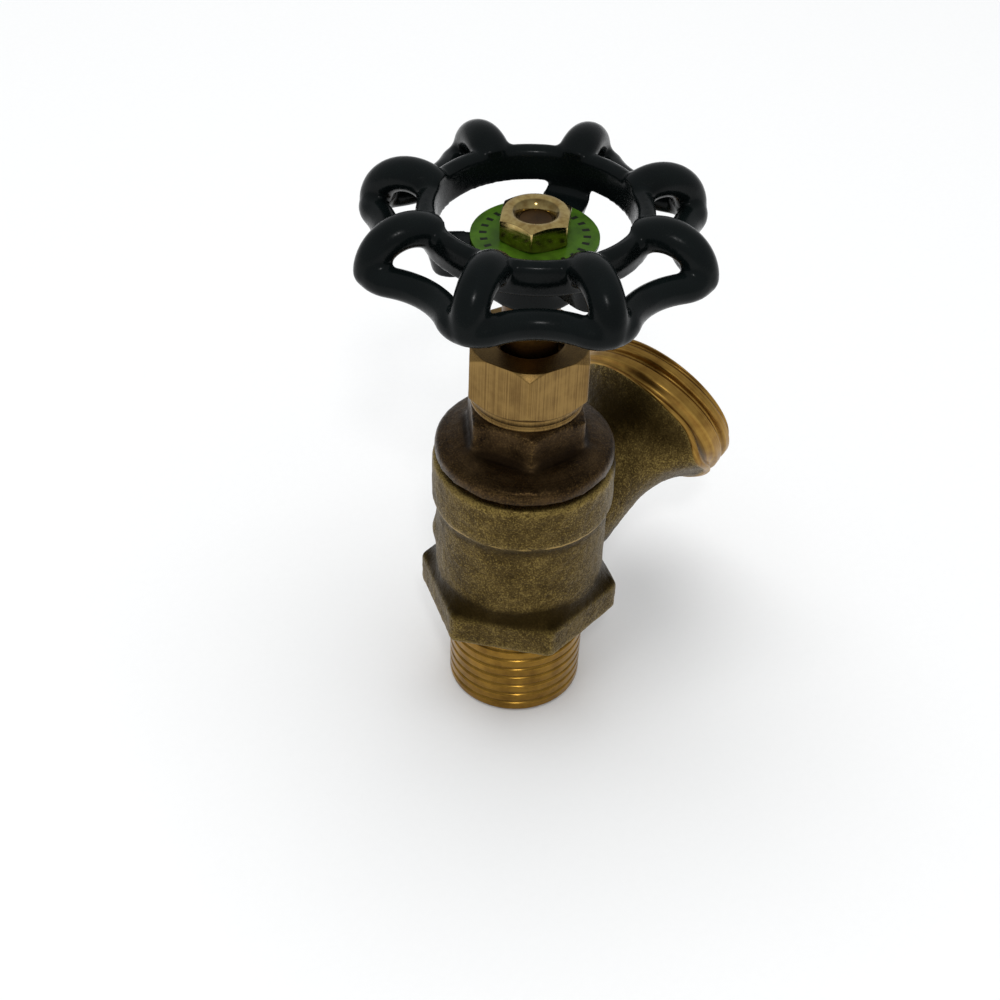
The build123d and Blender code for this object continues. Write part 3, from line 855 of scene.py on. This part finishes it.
@dataclass
class Castings:
    """The cast body and bonnet: rebuilt from voxels, then smoothed and given their sand grain.

    A fillet is its rounds and the furthest that a point may move. Sizes of the outlet and the
    flare, and where the neck starts and ends, are radii about the outlet's line or places along
    it. The rest are radii about the stem or heights. A span tells where something starts and
    where it is full. Each of the sand's cells has its share.
    """

    body_voxel: float = 0.36
    bonnet_voxel: float = 0.3
    skin_rounds: int = 3
    skin_push: float = 0.2
    body_fillet: tuple[int, float] = (10, 0.4)
    bonnet_fillet: tuple[int, float] = (30, 0.8)
    inlet_root: float = 9.2
    inlet_top: float = 15.4
    inlet_end: float = 1.0
    outlet_root: float = 12.0
    outlet_start: float = 32.2
    outlet_end: float = 36.9
    flare_rim: float = 12.95
    flare_rim_start: float = 26.0
    flare_span: Span = (21.0, 31.5)
    chamber_radius: float = 12.45
    neck_radius: float = 7.4
    corner_span: Span = (0.5, 3.5)
    corner_rounds: int = 10
    gate_mark: Place = (-7.7, 9.8, 28.2)
    gate_width: float = 1.9
    gate_height: float = 0.65
    body_sand: float = 0.075
    bonnet_sand: float = 0.04
    sand_cells: tuple[Span, ...] = ((3.5, 0.5), (1.1, 0.6), (0.55, 0.6))
    near_rounds: int = 10
    wide_rounds: int = 60
    edge_full: float = 0.12
    edge_sand: float = 0.3
    hollow_full: float = 0.5
    # Painted shade: where it darkens the neck's top under the wheel and the shelf above the
    # hexagon, and how much
    neck_from: Span = (12.45, 15.45)
    neck_to: Span = (28.0, 33.0)
    neck_heights: Span = (31.0, 38.0)
    neck_painted_shade: float = 0.42
    shelf_height: float = 21.4
    shelf_width: float = 1.5
    shelf_span: Span = (11.8, 12.6)
    shelf_painted_shade: float = 0.5
    # Where the painted gold highlight runs along the collar's lower lip, and how strong it is
    lip_height: float = 35.55
    lip_width: float = 0.25
    lip_radii: Span = (12.75, 13.65)
    lip_highlight_levels: tuple[float, float, float] = (1.1, 1.3, 1.7)
    lip_cell: float = 1.7
    lip_seed: int = 8
    bored_radius: float = 6.3
    bore_room: float = 0.12

    def cut_inlet(self, mesh: bpy.types.Mesh) -> None:
        """Draws the inlet's spigot in to its thread's root, and its end up out of the way.

        Args:
            mesh: the body in millimetres, changed in place.
        """
        points = mesh_points(mesh)
        out = np.hypot(points[:, 0], points[:, 1])
        spigot = (points[:, 2] < self.inlet_top) & (out > self.inlet_root)
        points[spigot, :2] *= (self.inlet_root / out[spigot])[:, None]
        points[points[:, 2] < self.inlet_end, 2] = self.inlet_end
        mesh.vertices.foreach_set("co", points.ravel())

    def draw_back(self, points: np.ndarray) -> np.ndarray:
        """Shapes the outlet's flare for the thread that is laid over its spigot.

        Args:
            points: the body's points in millimetres.

        Returns:
            The points, moved back along the outlet where the die ran further and past its end,
            and drawn in to the flare's rim, or to the thread's root from where the thread starts.
        """
        along, _, foot = OUTLET_LINE.measure(points)
        across, beside = OUTLET_LINE.sides()
        run = die_run(np.arctan2((points - foot) @ beside, (points - foot) @ across))
        back = run * smooth_step(along, *self.flare_span)
        back += np.maximum(along - back - self.outlet_end, 0.0)
        points = points - back[:, None] * OUTLET_LINE.direction()
        along, reach, foot = OUTLET_LINE.measure(points)
        most = np.where(along > self.outlet_start - run, self.outlet_root, self.flare_rim)
        shrink = np.where(along > self.flare_rim_start, np.minimum(1.0, most / reach), 1.0)
        return foot + (points - foot) * shrink[:, None]

    def soften_corner(self, skin: Skin) -> None:
        """Smooths the points that lie close to both the outlet's neck and the chamber's wall.

        Args:
            skin: the body's surface, changed in place.
        """
        along, reach, _ = OUTLET_LINE.measure(skin.points)
        out = np.hypot(skin.points[:, 0], skin.points[:, 1])
        from_neck = np.abs(reach - self.neck_radius)
        from_wall = np.abs(out - self.chamber_radius)
        near = 1 - smooth_step(from_neck, *self.corner_span)
        near = near * (1 - smooth_step(from_wall, *self.corner_span))
        relax(skin, self.corner_rounds, weight=near * (along > 0))

    def leave_gate(self, skin: Skin) -> None:
        """Leaves the stub of the mould's gate on the chamber, a bell along the normals."""
        away = np.linalg.norm(skin.points - np.array(self.gate_mark), axis=1) / self.gate_width
        skin.points += self.gate_height * bell(away)[:, None] * skin.normals()

    def sand(self, skin: Skin, amount: float) -> dict[str, np.ndarray]:
        """Roughens a casting with noise of three sizes along its normals, and tells its relief.

        Args:
            skin: the surface, changed in place.
            amount: the depth of the roughness in millimetres.

        Returns:
            For each point, edge: how far it stands out from close by, and hollow: how far it lies
            below the wider surroundings, each over its full distance and cut off at 1.
        """
        flat = Skin(skin.points.copy(), skin.faces)
        normals = skin.normals()
        height = sum(
            share * lattice_noise(skin.points, cell, seed)
            for seed, (cell, share) in enumerate(self.sand_cells)
        )
        relax(flat, self.near_rounds)
        edge = np.einsum("ij,ij->i", skin.points - flat.points, normals)
        relax(flat, self.wide_rounds)
        hollow = -np.einsum("ij,ij->i", skin.points - flat.points, normals)
        skin.points += amount * height[:, None] * normals
        # hollow is what the finish turns into painted shade in corners
        return {
            "edge": np.clip(edge / self.edge_full + self.edge_sand * height, -1, 1),
            "hollow": np.clip(hollow / self.hollow_full, 0, 1),
        }

    def paint_neck_and_shelf_shade(self, points: np.ndarray, hollow: np.ndarray) -> np.ndarray:
        """Paints shade on the top of the neck, under the wheel, and on the shelf above the hexagon.

        Args:
            points: the body's points in millimetres.
            hollow: how hollow each is.

        Returns:
            How hollow each counts as, with its share of painted shade: on the neck a product of
            steps, on the shelf a bell about its height, outside the chamber's wall.
        """
        along, _, _ = OUTLET_LINE.measure(points)
        out = np.hypot(points[:, 0], points[:, 1])
        neck = smooth_step(along, *self.neck_from) * (1 - smooth_step(along, *self.neck_to))
        neck *= smooth_step(points[:, 2], *self.neck_heights)
        shelf = bell((points[:, 2] - self.shelf_height) / self.shelf_width)
        shelf = shelf * smooth_step(out, *self.shelf_span)
        return np.clip(hollow + self.neck_painted_shade * neck + self.shelf_painted_shade * shelf, 0, 1)

    def paint_lip_highlight(self, points: np.ndarray) -> np.ndarray:
        """Paints a thin highlight line on the collar's lower lip: a bell over its height, broken up
        by noise.

        Args:
            points: the body's points in millimetres.

        Returns:
            How strongly each takes the painted highlight.
        """
        out = np.hypot(points[:, 0], points[:, 1])
        lip = bell((points[:, 2] - self.lip_height) / self.lip_width)
        lip *= (out > self.lip_radii[0]) & (out < self.lip_radii[1])
        middle, swing, most = self.lip_highlight_levels
        noise = lattice_noise(points, self.lip_cell, self.lip_seed)
        return lip * np.clip(middle + swing * noise, 0, most)

    def body(self, node: bpy.types.Object, material: bpy.types.Material) -> bpy.types.Object:
        """Builds the cast body: voxels, flare, fillets, gate and sand grain, then its shades.

        Args:
            node: the CAD node that it stands for.
            material: its finish.

        Returns:
            The new object.
        """
        mesh = merged_copy(node)
        self.cut_inlet(mesh)
        skin = remeshed(mesh, self.body_voxel)
        skin.points = self.draw_back(skin.points)
        relax(skin, self.skin_rounds, self.skin_push)
        self.soften_corner(skin)
        fill_creases(skin, *self.body_fillet)
        self.leave_gate(skin)
        shades = self.sand(skin, self.body_sand)
        # Painted shade in hollows, on the neck's top and on the shelf
        shades["hollow"] = self.paint_neck_and_shelf_shade(skin.points, shades["hollow"])
        # Painted highlight along the collar's lower lip
        shades["lip_highlight"] = self.paint_lip_highlight(skin.points)
        piece = place("body_casting", skin, Carrier.VALVE, material, shades)
        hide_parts("body")
        return piece

    def bonnet(self, node: bpy.types.Object, material: bpy.types.Material) -> bpy.types.Object:
        """Builds the cast bonnet likewise, with a finer skin and its bores clear of the stem.

        Args:
            node: the CAD node that it stands for.
            material: its finish.

        Returns:
            The new object.
        """
        skin = remeshed(merged_copy(node), self.bonnet_voxel)
        relax(skin, self.skin_rounds, self.skin_push)
        bored = skin.points.copy()
        fill_creases(skin, *self.bonnet_fillet)
        # The sand's hollow values give the bonnet painted shade in its corners
        shades = self.sand(skin, self.bonnet_sand)
        out = np.hypot(bored[:, 0], bored[:, 1])
        bored[:, :2] *= (1 + self.bore_room / out)[:, None]
        skin.points = np.where((out < self.bored_radius)[:, None], bored, skin.points)
        piece = place("bonnet_casting", skin, Carrier.VALVE, material, shades)
        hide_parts("bonnet")
        return piece


@dataclass
class CutThread:
    """A screw thread cut on a spigot, as a closed ring of metal, told from its free end inwards.

    The outside is the crest's radius, less the depth times how far into the groove the place is.
    The groove lies where the height over the pitch less the turn is a whole number, and runs out
    at its end. Its flanks are part straight and part an S. How deep a place lies in the groove
    sets a painted shade there. With run_back the inner end follows the die's run, and the painted
    shade in the groove is darker there.
    """

    name: str
    free_end: Place
    inwards: Place
    length: float
    crest: float
    taper: float
    depth: float
    pitch: float
    groove_end: float
    first_turn_deg: float
    bore: float
    wall: float
    chamfer: float
    back_chamfer: float = 0.0
    # Painted shade: how much the groove's depth darkens its colour
    groove_shade: float = 0.35
    crest_flat: float = 0.5
    root_flat: float = 0.08
    straight_share: float = 0.4
    run_out_pitches: float = 0.3
    bore_depth: float = 2.6
    bore_edge: float = 0.3
    soft: float = 0.05
    run_back: bool = False
    run_back_reach: float = 2.5
    run_back_span: Span = (1.0, 1.9)
    run_back_shade: float = 12.0
    columns: int = 288
    rows_in_pitch: int = 20

    def outside(self, height: np.ndarray, turn: np.ndarray) -> tuple[np.ndarray, np.ndarray]:
        """Works out the thread's outside by the class's formula.

        Args:
            height: how far from the free end each place is.
            turn: its angle round the axis, from where the groove starts.

        Returns:
            The radius, and how deep in the groove the place is.
        """
        turns = height / self.pitch - turn / (2 * np.pi)
        away = 1 - 2 * np.abs(turns - np.round(turns))
        flank = 1 - self.crest_flat - self.root_flat
        groove = np.clip((away - self.crest_flat) / flank, 0.0, 1.0)
        curved = smooth_step(groove, 0.0, 1.0)
        groove = self.straight_share * groove + (1 - self.straight_share) * curved
        middle = self.pitch * (np.round(turns) + turn / (2 * np.pi))
        run_out = self.groove_end - self.run_out_pitches * self.pitch
        groove = groove * (1 - smooth_step(middle, run_out, self.groove_end))
        crest = self.crest + self.taper * height
        ends = np.minimum(height - self.chamfer, self.length - height - self.back_chamfer)
        return soft_least(crest - self.depth * groove, self.crest + ends, self.soft), groove

    def skin(self) -> tuple[Skin, np.ndarray]:
        """Carries the ring's closed profile round its axis: the thread, then the bore back.

        Returns:
            The surface, and how deep in the groove each point is.
        """
        turn = full_turn(self.columns)[None, :]
        rows = int(self.length / self.pitch * self.rows_in_pitch)
        height = np.linspace(0.0, self.length, rows)[:, None]
        radius, groove = self.outside(height, turn + math.radians(self.first_turn_deg))
        inner = np.array([
            (self.length, self.wall), (self.bore_depth, self.bore), (self.bore_edge, self.bore),
            (0.0, self.bore + self.bore_edge),
        ])[..., None] * np.ones(self.columns)
        reached = smooth_step(height, self.length - self.run_back_reach, self.length)
        far = self.run_back * reached * die_run(turn)
        inner[0, 0] = height[-1] + far[-1]
        heights = np.concatenate([height + far, inner[:, 0]])
        radii = np.concatenate([radius, inner[:, 1]])
        # Painted shade in the groove, darker where the die ran back
        darker = 1 + self.run_back_shade * smooth_step(far, *self.run_back_span)
        depths = np.concatenate([groove * darker, np.zeros_like(inner[:, 0])])
        axis = np.array(self.inwards)
        across = np.array([0.0, 1.0, 0.0])
        beside = np.cross(axis, across)
        outward = np.cos(turn)[..., None] * across + np.sin(turn)[..., None] * beside
        points = np.array(self.free_end) + heights[..., None] * axis + radii[..., None] * outward
        return Skin(points.reshape(-1, 3), ring_faces(len(radii), self.columns)), depths.ravel()

    def build(self, material: bpy.types.Material) -> bpy.types.Object:
        """Makes the thread and lets it ride on the valve's body.

        Args:
            material: its finish.

        Returns:
            The new object.
        """
        skin, groove = self.skin()
        shades = {"groove": self.groove_shade * groove}
        piece = place(self.name, skin, Carrier.VALVE, material, shades)
        return piece


@dataclass
class HexNut:
    """A turned hexagon nut as one closed ring of metal round the stem.

    The outside is the smaller of two radii with its edges softened: the way to the nearest flat,
    and a cone at each chamfered end. The flats' radius is the half width across them over a high
    power mean of the six cosines, which rounds the corners a little. The collar's profile tells
    how far out from its radius and how far up each row stands. Support rows close to an edge keep
    its shading crisp.
    """

    name: str
    across_flats: float
    bottom: float
    top: float
    corner_deg: float
    face_radius: float
    foot_radius: float
    chamfer_deg: float
    bore: float
    countersink: float
    collar_radius: float = 0.0
    collar_height: float = 0.0
    collar_profile: tuple[Span, ...] = (
        (-0.22, 0.0), (0.0, 0.22), (0.0, 0.62), (-0.16, 0.74), (-0.16, 0.9), (0.0, 1.02),
    )
    cavity_radius: float = 0.0
    web: float = 0.0
    thread_depth: float = 0.0
    thread_pitch: float = 0.8
    crown: float = 0.0
    # Painted shade: a dark line round the bore's mouth, how dark and how wide, and the bore
    # darkened inside
    mouth_shade_line: float = 0.0
    mouth_shade_line_width: float = 0.12
    bore_shade: float = 0.85
    bore_fade: float = 0.5
    bore_room: float = 0.01
    corner_power: float = 110.0
    soft: float = 0.045
    support: float = 0.1
    columns: int = 504
    edge_rows: int = 24
    side_rows: int = 8
    face_rows: int = 8
    thread_rows: int = 40

    def flats(self, turn: np.ndarray) -> np.ndarray:
        """Works out the flats by the class's formula.

        Args:
            turn: angles round the stem.

        Returns:
            The hexagon's radius at each.
        """
        middles = math.radians(self.corner_deg + 30.0) + np.arange(6)[:, None] * math.pi / 3
        facing = np.maximum(np.cos(turn[None, :] - middles), 0.0) ** self.corner_power
        return self.across_flats / 2 / facing.sum(axis=0) ** (1 / self.corner_power)

    def hexagon(self, turn: np.ndarray) -> tuple[np.ndarray, np.ndarray]:
        """Cuts the flats with the chamfers' two cones.

        Args:
            turn: angles round the stem.

        Returns:
            Heights, closer together where the cones cut, and the radius at each height and turn.
        """
        flats = self.flats(turn)
        slope = math.tan(math.radians(self.chamfer_deg))
        low = self.bottom + self.collar_height
        reach = (flats.max() - min(self.face_radius, self.foot_radius)) * slope + 2 * self.soft
        levels = np.concatenate([
            np.linspace(low, low + reach, self.edge_rows),
            np.linspace(low + reach, self.top - reach, self.side_rows)[1:-1],
            np.linspace(self.top - reach, self.top, self.edge_rows),
        ])
        head = self.face_radius + (self.top - levels) / slope
        foot = self.foot_radius + (levels - low) / slope
        return levels, soft_least(flats[None, :], np.minimum(head, foot)[:, None], self.soft)

    def collar(self, first: np.ndarray) -> Rows:
        """Stacks the collar from its lower edge up to the hexagon, by its profile.

        Args:
            first: the hexagon's lowest radii.

        Returns:
            The collar's rows.
        """
        radius, low, high = self.collar_radius, self.bottom, self.bottom + self.collar_height
        ring = np.ones(self.columns)
        rows = [((radius + out) * ring, low + up) for out, up in self.collar_profile]
        return rows + [(radius * ring, high - self.support), (first - self.support, high)]

    def face(self, edge: np.ndarray) -> Rows:
        """Lays the top face inwards to the countersink: a low arch that sinks by the crown.

        Args:
            edge: the hexagon's highest radii.

        Returns:
            The face's rows.
        """
        start, end = edge - self.support, self.bore + self.countersink + self.support
        rows = [(start, self.top)]
        for share in np.linspace(0.0, 1.0, self.face_rows + 1)[1:]:
            arch = self.crown * 4 * share * (1 - share)
            rows.append((
                (1 - share) * start + share * end, self.top + arch - self.crown * share
            ))
        return rows

    def bore_wall(self, turn: np.ndarray) -> Rows:
        """Runs down the bore: a wave that turns once in each pitch of its thread.

        Args:
            turn: angles round the stem.

        Returns:
            The bore's rows.
        """
        start = self.top - self.countersink - self.crown - self.support
        end = self.bottom + 2 * self.support
        if self.cavity_radius:
            end = self.top - self.web + self.support
        rows = []
        for level in np.linspace(start, end, self.thread_rows if self.thread_depth else 2):
            wave = np.cos(2 * np.pi * level / self.thread_pitch - turn)
            deep = self.thread_depth * min(1.0, (start - level) / self.thread_pitch)
            rows.append((self.bore + deep * (0.5 + 0.5 * wave), level))
        return rows

    def skin(self) -> Skin:
        """Stacks the closed profile's rows: collar, flats and chamfers, face, bore and cavity.

        Returns:
            The nut's surface.
        """
        turn = full_turn(self.columns)
        levels, outside = self.hexagon(turn)
        ring, gap = np.ones(self.columns), self.support
        inner = self.cavity_radius or self.bore
        rows = [(inner * ring, self.bottom + gap), ((inner + gap) * ring, self.bottom)]
        rows += self.collar(outside[0]) if self.collar_height else [(outside[0] - gap, self.bottom)]
        rows += list(zip(outside, levels))
        rows += self.face(outside[-1])
        rows += [((self.bore + self.countersink) * ring, self.top - self.crown - gap / 2)]
        rows += self.bore_wall(turn)
        if self.cavity_radius:
            web = self.top - self.web
            rows += [((self.bore + gap) * ring, web), ((inner - gap) * ring, web)]
            rows += [(inner * ring, web - gap)]
        radius = np.stack([r for r, _ in rows])
        height = np.broadcast_to(np.array([h for _, h in rows])[:, None], radius.shape)
        points = np.stack([radius * np.cos(turn), radius * np.sin(turn), height], axis=2)
        return Skin(points.reshape(-1, 3), ring_faces(len(rows), self.columns))

    def painted_bore_shade(self, skin: Skin) -> np.ndarray:
        """Paints shade inside the bore by a step, and a thin line of painted shade round its mouth
        by a bell.

        Args:
            skin: the nut's surface.

        Returns:
            How dark the painted shade makes each point, from 0 to 1.
        """
        out = np.hypot(skin.points[:, 0], skin.points[:, 1])
        below = self.top - skin.points[:, 2]
        deep = smooth_step(below, self.countersink, self.countersink + self.bore_fade)
        inside = (out < self.bore + self.thread_depth + self.bore_room) * deep
        line = bell((out - self.bore - self.countersink) / self.mouth_shade_line_width)
        return np.maximum(inside, self.mouth_shade_line * line * (below < self.bore_fade))

    def build(
        self, node: str, carrier: Carrier, slot: str, material: bpy.types.Material
    ) -> bpy.types.Object:
        """Makes the nut in place of its CAD node.

        Args:
            node: the CAD node that it stands for.
            carrier: the body that it rides on.
            slot: the name of a material slot; not used.
            material: its finish.

        Returns:
            The new object.
        """
        skin = self.skin()
        # Painted shade in the bore and round its mouth
        shades = {"groove": self.bore_shade * self.painted_bore_shade(skin)}
        piece = place(self.name, skin, carrier, material, shades)
        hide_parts(node)
        return piece


@dataclass
class Handwheel:
    """The handwheel's casting: rebuilt from voxels and smoothed until every joint flows."""

    voxel: float = 0.3
    first_rounds: int = 10
    last_rounds: int = 4
    push: float = 0.51
    fillet: tuple[int, float] = (40, 0.9)

    def build(self, node: bpy.types.Object, material: bpy.types.Material) -> bpy.types.Object:
        """Builds the wheel as one smooth casting.

        Args:
            node: the CAD node that it stands for.
            material: its finish.

        Returns:
            The new object.
        """
        skin = remeshed(merged_copy(node), self.voxel)
        relax(skin, self.first_rounds, self.push)
        fill_creases(skin, *self.fillet)
        relax(skin, self.last_rounds, self.push)
        piece = place("handwheel_casting", skin, Carrier.WHEEL, material)
        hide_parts("handwheel")
        return piece


@dataclass
class InnerParts:
    """The nodes that keep their CAD shape and only get their finish, told for each by name."""

    finishes: dict[str, bpy.types.Material]

    def dress(self, nodes: dict[str, bpy.types.Object]) -> None:
        """Gives each node its finish.

        Args:
            nodes: the CAD nodes by name.
        """
        for name, material in self.finishes.items():
            nodes[name].data.materials.clear()
            nodes[name].data.materials.append(material)
            LOG.info("%s keeps its shape, in %s", name, material.name)


@dataclass
class Studio:
    """Pale floor, soft lights and the camera, which aims at a point beside the stem."""

    focal_px: float = 1900.0
    frame_px: float = 1000.0
    sensor: float = 36.0
    distance: float = 278.552
    elevation_deg: float = 40.218
    turn_deg: float = 52.053
    roll_deg: float = 2.27
    aim_side: float = -3.208
    aim_height: float = 33.705
    near_m: float = 0.01
    light_aim_m: Place = (0.0, 0.0, 0.05)
    floor_half_m: float = 2.5
    floor_top_m: float = -0.0002
    sky: str = "#fafcff"
    sky_strength: float = 0.55

    def camera(self) -> None:
        """Sets the camera where the photograph was taken from."""
        rise, turn, roll = map(math.radians, (self.elevation_deg, self.turn_deg, self.roll_deg))
        spin = Matrix.Rotation(-turn, 3, "Z")
        right = spin @ Vector((1.0, 0.0, 0.0))
        ahead = spin @ Vector((0.0, math.cos(rise), -math.sin(rise)))
        above = right.cross(ahead)
        behind = -self.distance * math.cos(rise)
        height = self.aim_height + self.distance * math.sin(rise)
        at = spin @ Vector((self.aim_side, behind, height))
        level = right * math.cos(roll) + above * math.sin(roll)
        upward = above * math.cos(roll) - right * math.sin(roll)
        lens = bpy.data.cameras.new("camera")
        lens.sensor_width = self.sensor
        lens.lens = self.focal_px / self.frame_px * self.sensor
        lens.clip_start = self.near_m
        camera = bpy.data.objects.new("camera", lens)
        turned = Matrix((level, upward, -ahead)).transposed().to_4x4()
        camera.matrix_world = Matrix.Translation(at * MM) @ turned
        bpy.context.scene.collection.objects.link(camera)
        bpy.context.scene.camera = camera

    def light(self, name: str, at: Place, size: float, watts: float, mirrored: bool) -> None:
        """Hangs a square soft light that faces the valve.

        Args:
            name: the light's name.
            at: its place in metres.
            size: its side in metres.
            watts: its power.
            mirrored: whether glossy surfaces mirror it, or only receive its light.
        """
        lamp = bpy.data.lights.new(name, "AREA")
        lamp.size = size
        lamp.energy = watts
        holder = bpy.data.objects.new(name, lamp)
        towards = Vector(self.light_aim_m) - Vector(at)
        holder.rotation_euler = towards.to_track_quat("-Z", "Y").to_euler()
        holder.location = at
        holder.visible_glossy = mirrored
        bpy.context.scene.collection.objects.link(holder)

    def floor(self) -> None:
        """Lays the floor: one square of matt card just under the valve."""
        half = self.floor_half_m
        corners = [
            (x, y, self.floor_top_m)
            for x, y in ((-half, -half), (half, -half), (half, half), (-half, half))
        ]
        mesh = bpy.data.meshes.new("floor")
        mesh.from_pydata(corners, [], [(0, 1, 2, 3)])
        card = Moulded(
            "matt_white_card", "#fbfbfa", "#fcfcfb", grain_mm=1.0, roughness=0.9, relief_mm=0.0
        )
        mesh.materials.append(card.make())
        floor = bpy.data.objects.new("floor", mesh)
        bpy.context.scene.collection.objects.link(floor)

    def build(self) -> None:
        """Lays the floor, hangs the lights and sets the camera."""
        self.floor()
        world = bpy.data.worlds.new("studio")
        world.use_nodes = True
        background = world.node_tree.nodes["Background"]
        background.inputs["Color"].default_value = linear(self.sky)
        background.inputs["Strength"].default_value = self.sky_strength
        bpy.context.scene.world = world
        bpy.context.scene.view_settings.view_transform = "Standard"
        self.light("overhead_box", (0.05, 0.1, 0.95), size=0.9, watts=5.4, mirrored=False)
        self.light("camera_side_box", (-0.30, -0.26, 0.50), size=0.05, watts=0.45, mirrored=True)
        self.camera()


def main() -> None:
    """Loads the frame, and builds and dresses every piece."""
    logging.basicConfig(level=logging.INFO, format="%(message)s")
    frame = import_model()
    nodes = frame["nodes"]
    cast = CastBrass("sand_cast_brass", "#2a200d", "#504122", "#715f36", "#a08a4a").make()
    dark_cast = CastBrass(
        "tarnished_cast_brass", "#19110a", "#3e2f1d", "#524029", "#7a6036", grain_strength=0.25,
        mottle=0.3, edge_lift=-0.1, hollow_shade=0.85, ring_mm=0.8, roughness=0.42, relief_mm=0.025,
    ).make()
    thread = TurnedBrass("die_cut_brass", "#a07a32", "#6e5020", "#3d2c10", roughness=0.22).make()
    outlet_thread = TurnedBrass(
        "die_cut_brass_outlet", "#ac8843", "#755224", "#2c200c", marks=Grain.ROUND_OUTLET,
        mark_mm=0.5, roughness=0.32, relief_mm=0.03, streak=1.0, haze=0.5,
    ).make()
    nut = TurnedBrass(
        "milled_brass_nut", "#8f7343", "#6e5530", "#45321a", marks=Grain.ALONG_STEM, mark_mm=0.22,
        roughness=0.34, relief_mm=0.02, streak=1.2,
    ).make()
    wheel_nut = TurnedBrass(
        "bright_brass_nut", "#c6b074", "#a08550", "#2e2310", mark_mm=0.3, roughness=0.13,
        relief_mm=0.004, streak=0.3, haze=0.9, haze_mm=1.1,
    ).make()
    # Painted shade: the stem's brass is made darker for the shade under the wheel and inside the
    # nuts
    shaded_stem_brass = TurnedBrass(
        "shade_darkened_stem_brass", "#5e4320", "#3c2a14", "#1f150a", roughness=0.35
    ).make()
    enamel = BlackEnamel().make()
    green = SignPaint().make()
    fibre = Moulded("vulcanised_fibre", "#3a2a20", "#5a4030", grain_mm=0.4, roughness=0.7).make()
    packing = Moulded(
        "graphited_packing", "#2a2a2b", "#454544", grain_mm=0.5, roughness=0.55
    ).make()
    rubber = Moulded(
        "black_nitrile_rubber", "#141414", "#222221", grain_mm=0.4, roughness=0.5
    ).make()

    castings = Castings()
    pieces = [
        castings.body(nodes["body"], cast),
        castings.bonnet(nodes["bonnet"], dark_cast),
        CutThread(
            "inlet_thread", (0.0, 0.0, 0.0), (0.0, 0.0, 1.0), length=15.6, crest=10.05,
            taper=0.011, depth=0.3, pitch=INCH / 14, groove_end=14.6, first_turn_deg=200.0,
            bore=7.55, wall=8.6, chamfer=0.2, crest_flat=0.6,
        ).build(thread),
        CutThread(
            "hose_thread", tuple(OUTLET_LINE.at(OUTLET_LENGTH)), tuple(-OUTLET_LINE.direction()),
            length=5.75, crest=13.55, taper=0.0, depth=0.75, pitch=INCH / 11.5, groove_end=5.8,
            first_turn_deg=221.0, bore=9.55, wall=11.0, chamfer=0.6, run_back=True,
            back_chamfer=0.6, groove_shade=0.07, crest_flat=0.4, root_flat=0.1,
        ).build(outlet_thread),
        HexNut(
            "packing_nut_turned", across_flats=16.4, bottom=52.6, top=63.0, corner_deg=38.8,
            face_radius=8.45, foot_radius=8.1, chamfer_deg=45.0, bore=4.7, countersink=0.25,
            collar_radius=8.0, collar_height=1.95, cavity_radius=6.95, web=2.0,
        ).build("packing_nut", Carrier.VALVE, "bright_brass", nut),
        HexNut(
            "wheel_nut_turned", across_flats=8.9, bottom=79.5, top=83.15, corner_deg=32.0,
            face_radius=4.2, foot_radius=4.4, chamfer_deg=30.0, bore=2.12, countersink=0.85,
            thread_depth=0.32, crown=0.12, mouth_shade_line=0.75, corner_power=90.0, soft=0.03,
            support=0.07, columns=360,
        ).build("wheel_nut", Carrier.WHEEL, "bright_brass", wheel_nut),
        Handwheel().build(nodes["handwheel"], enamel),
    ]
    for piece in pieces:
        LOG.info("%s: %d faces", piece.name, len(piece.data.polygons))
    InnerParts({
        "bonnet_gasket": fibre, "packing_washer": nut, "packing_ring_lower": packing,
        "packing_ring_upper": packing, "packing_gland": nut, "stem": shaded_stem_brass,
        "disc_holder": thread, "seat_washer": rubber, "seat_screw": thread, "label_disc": green,
    }).dress(nodes)
    Studio().build()


if __name__ == "__main__":
    main()
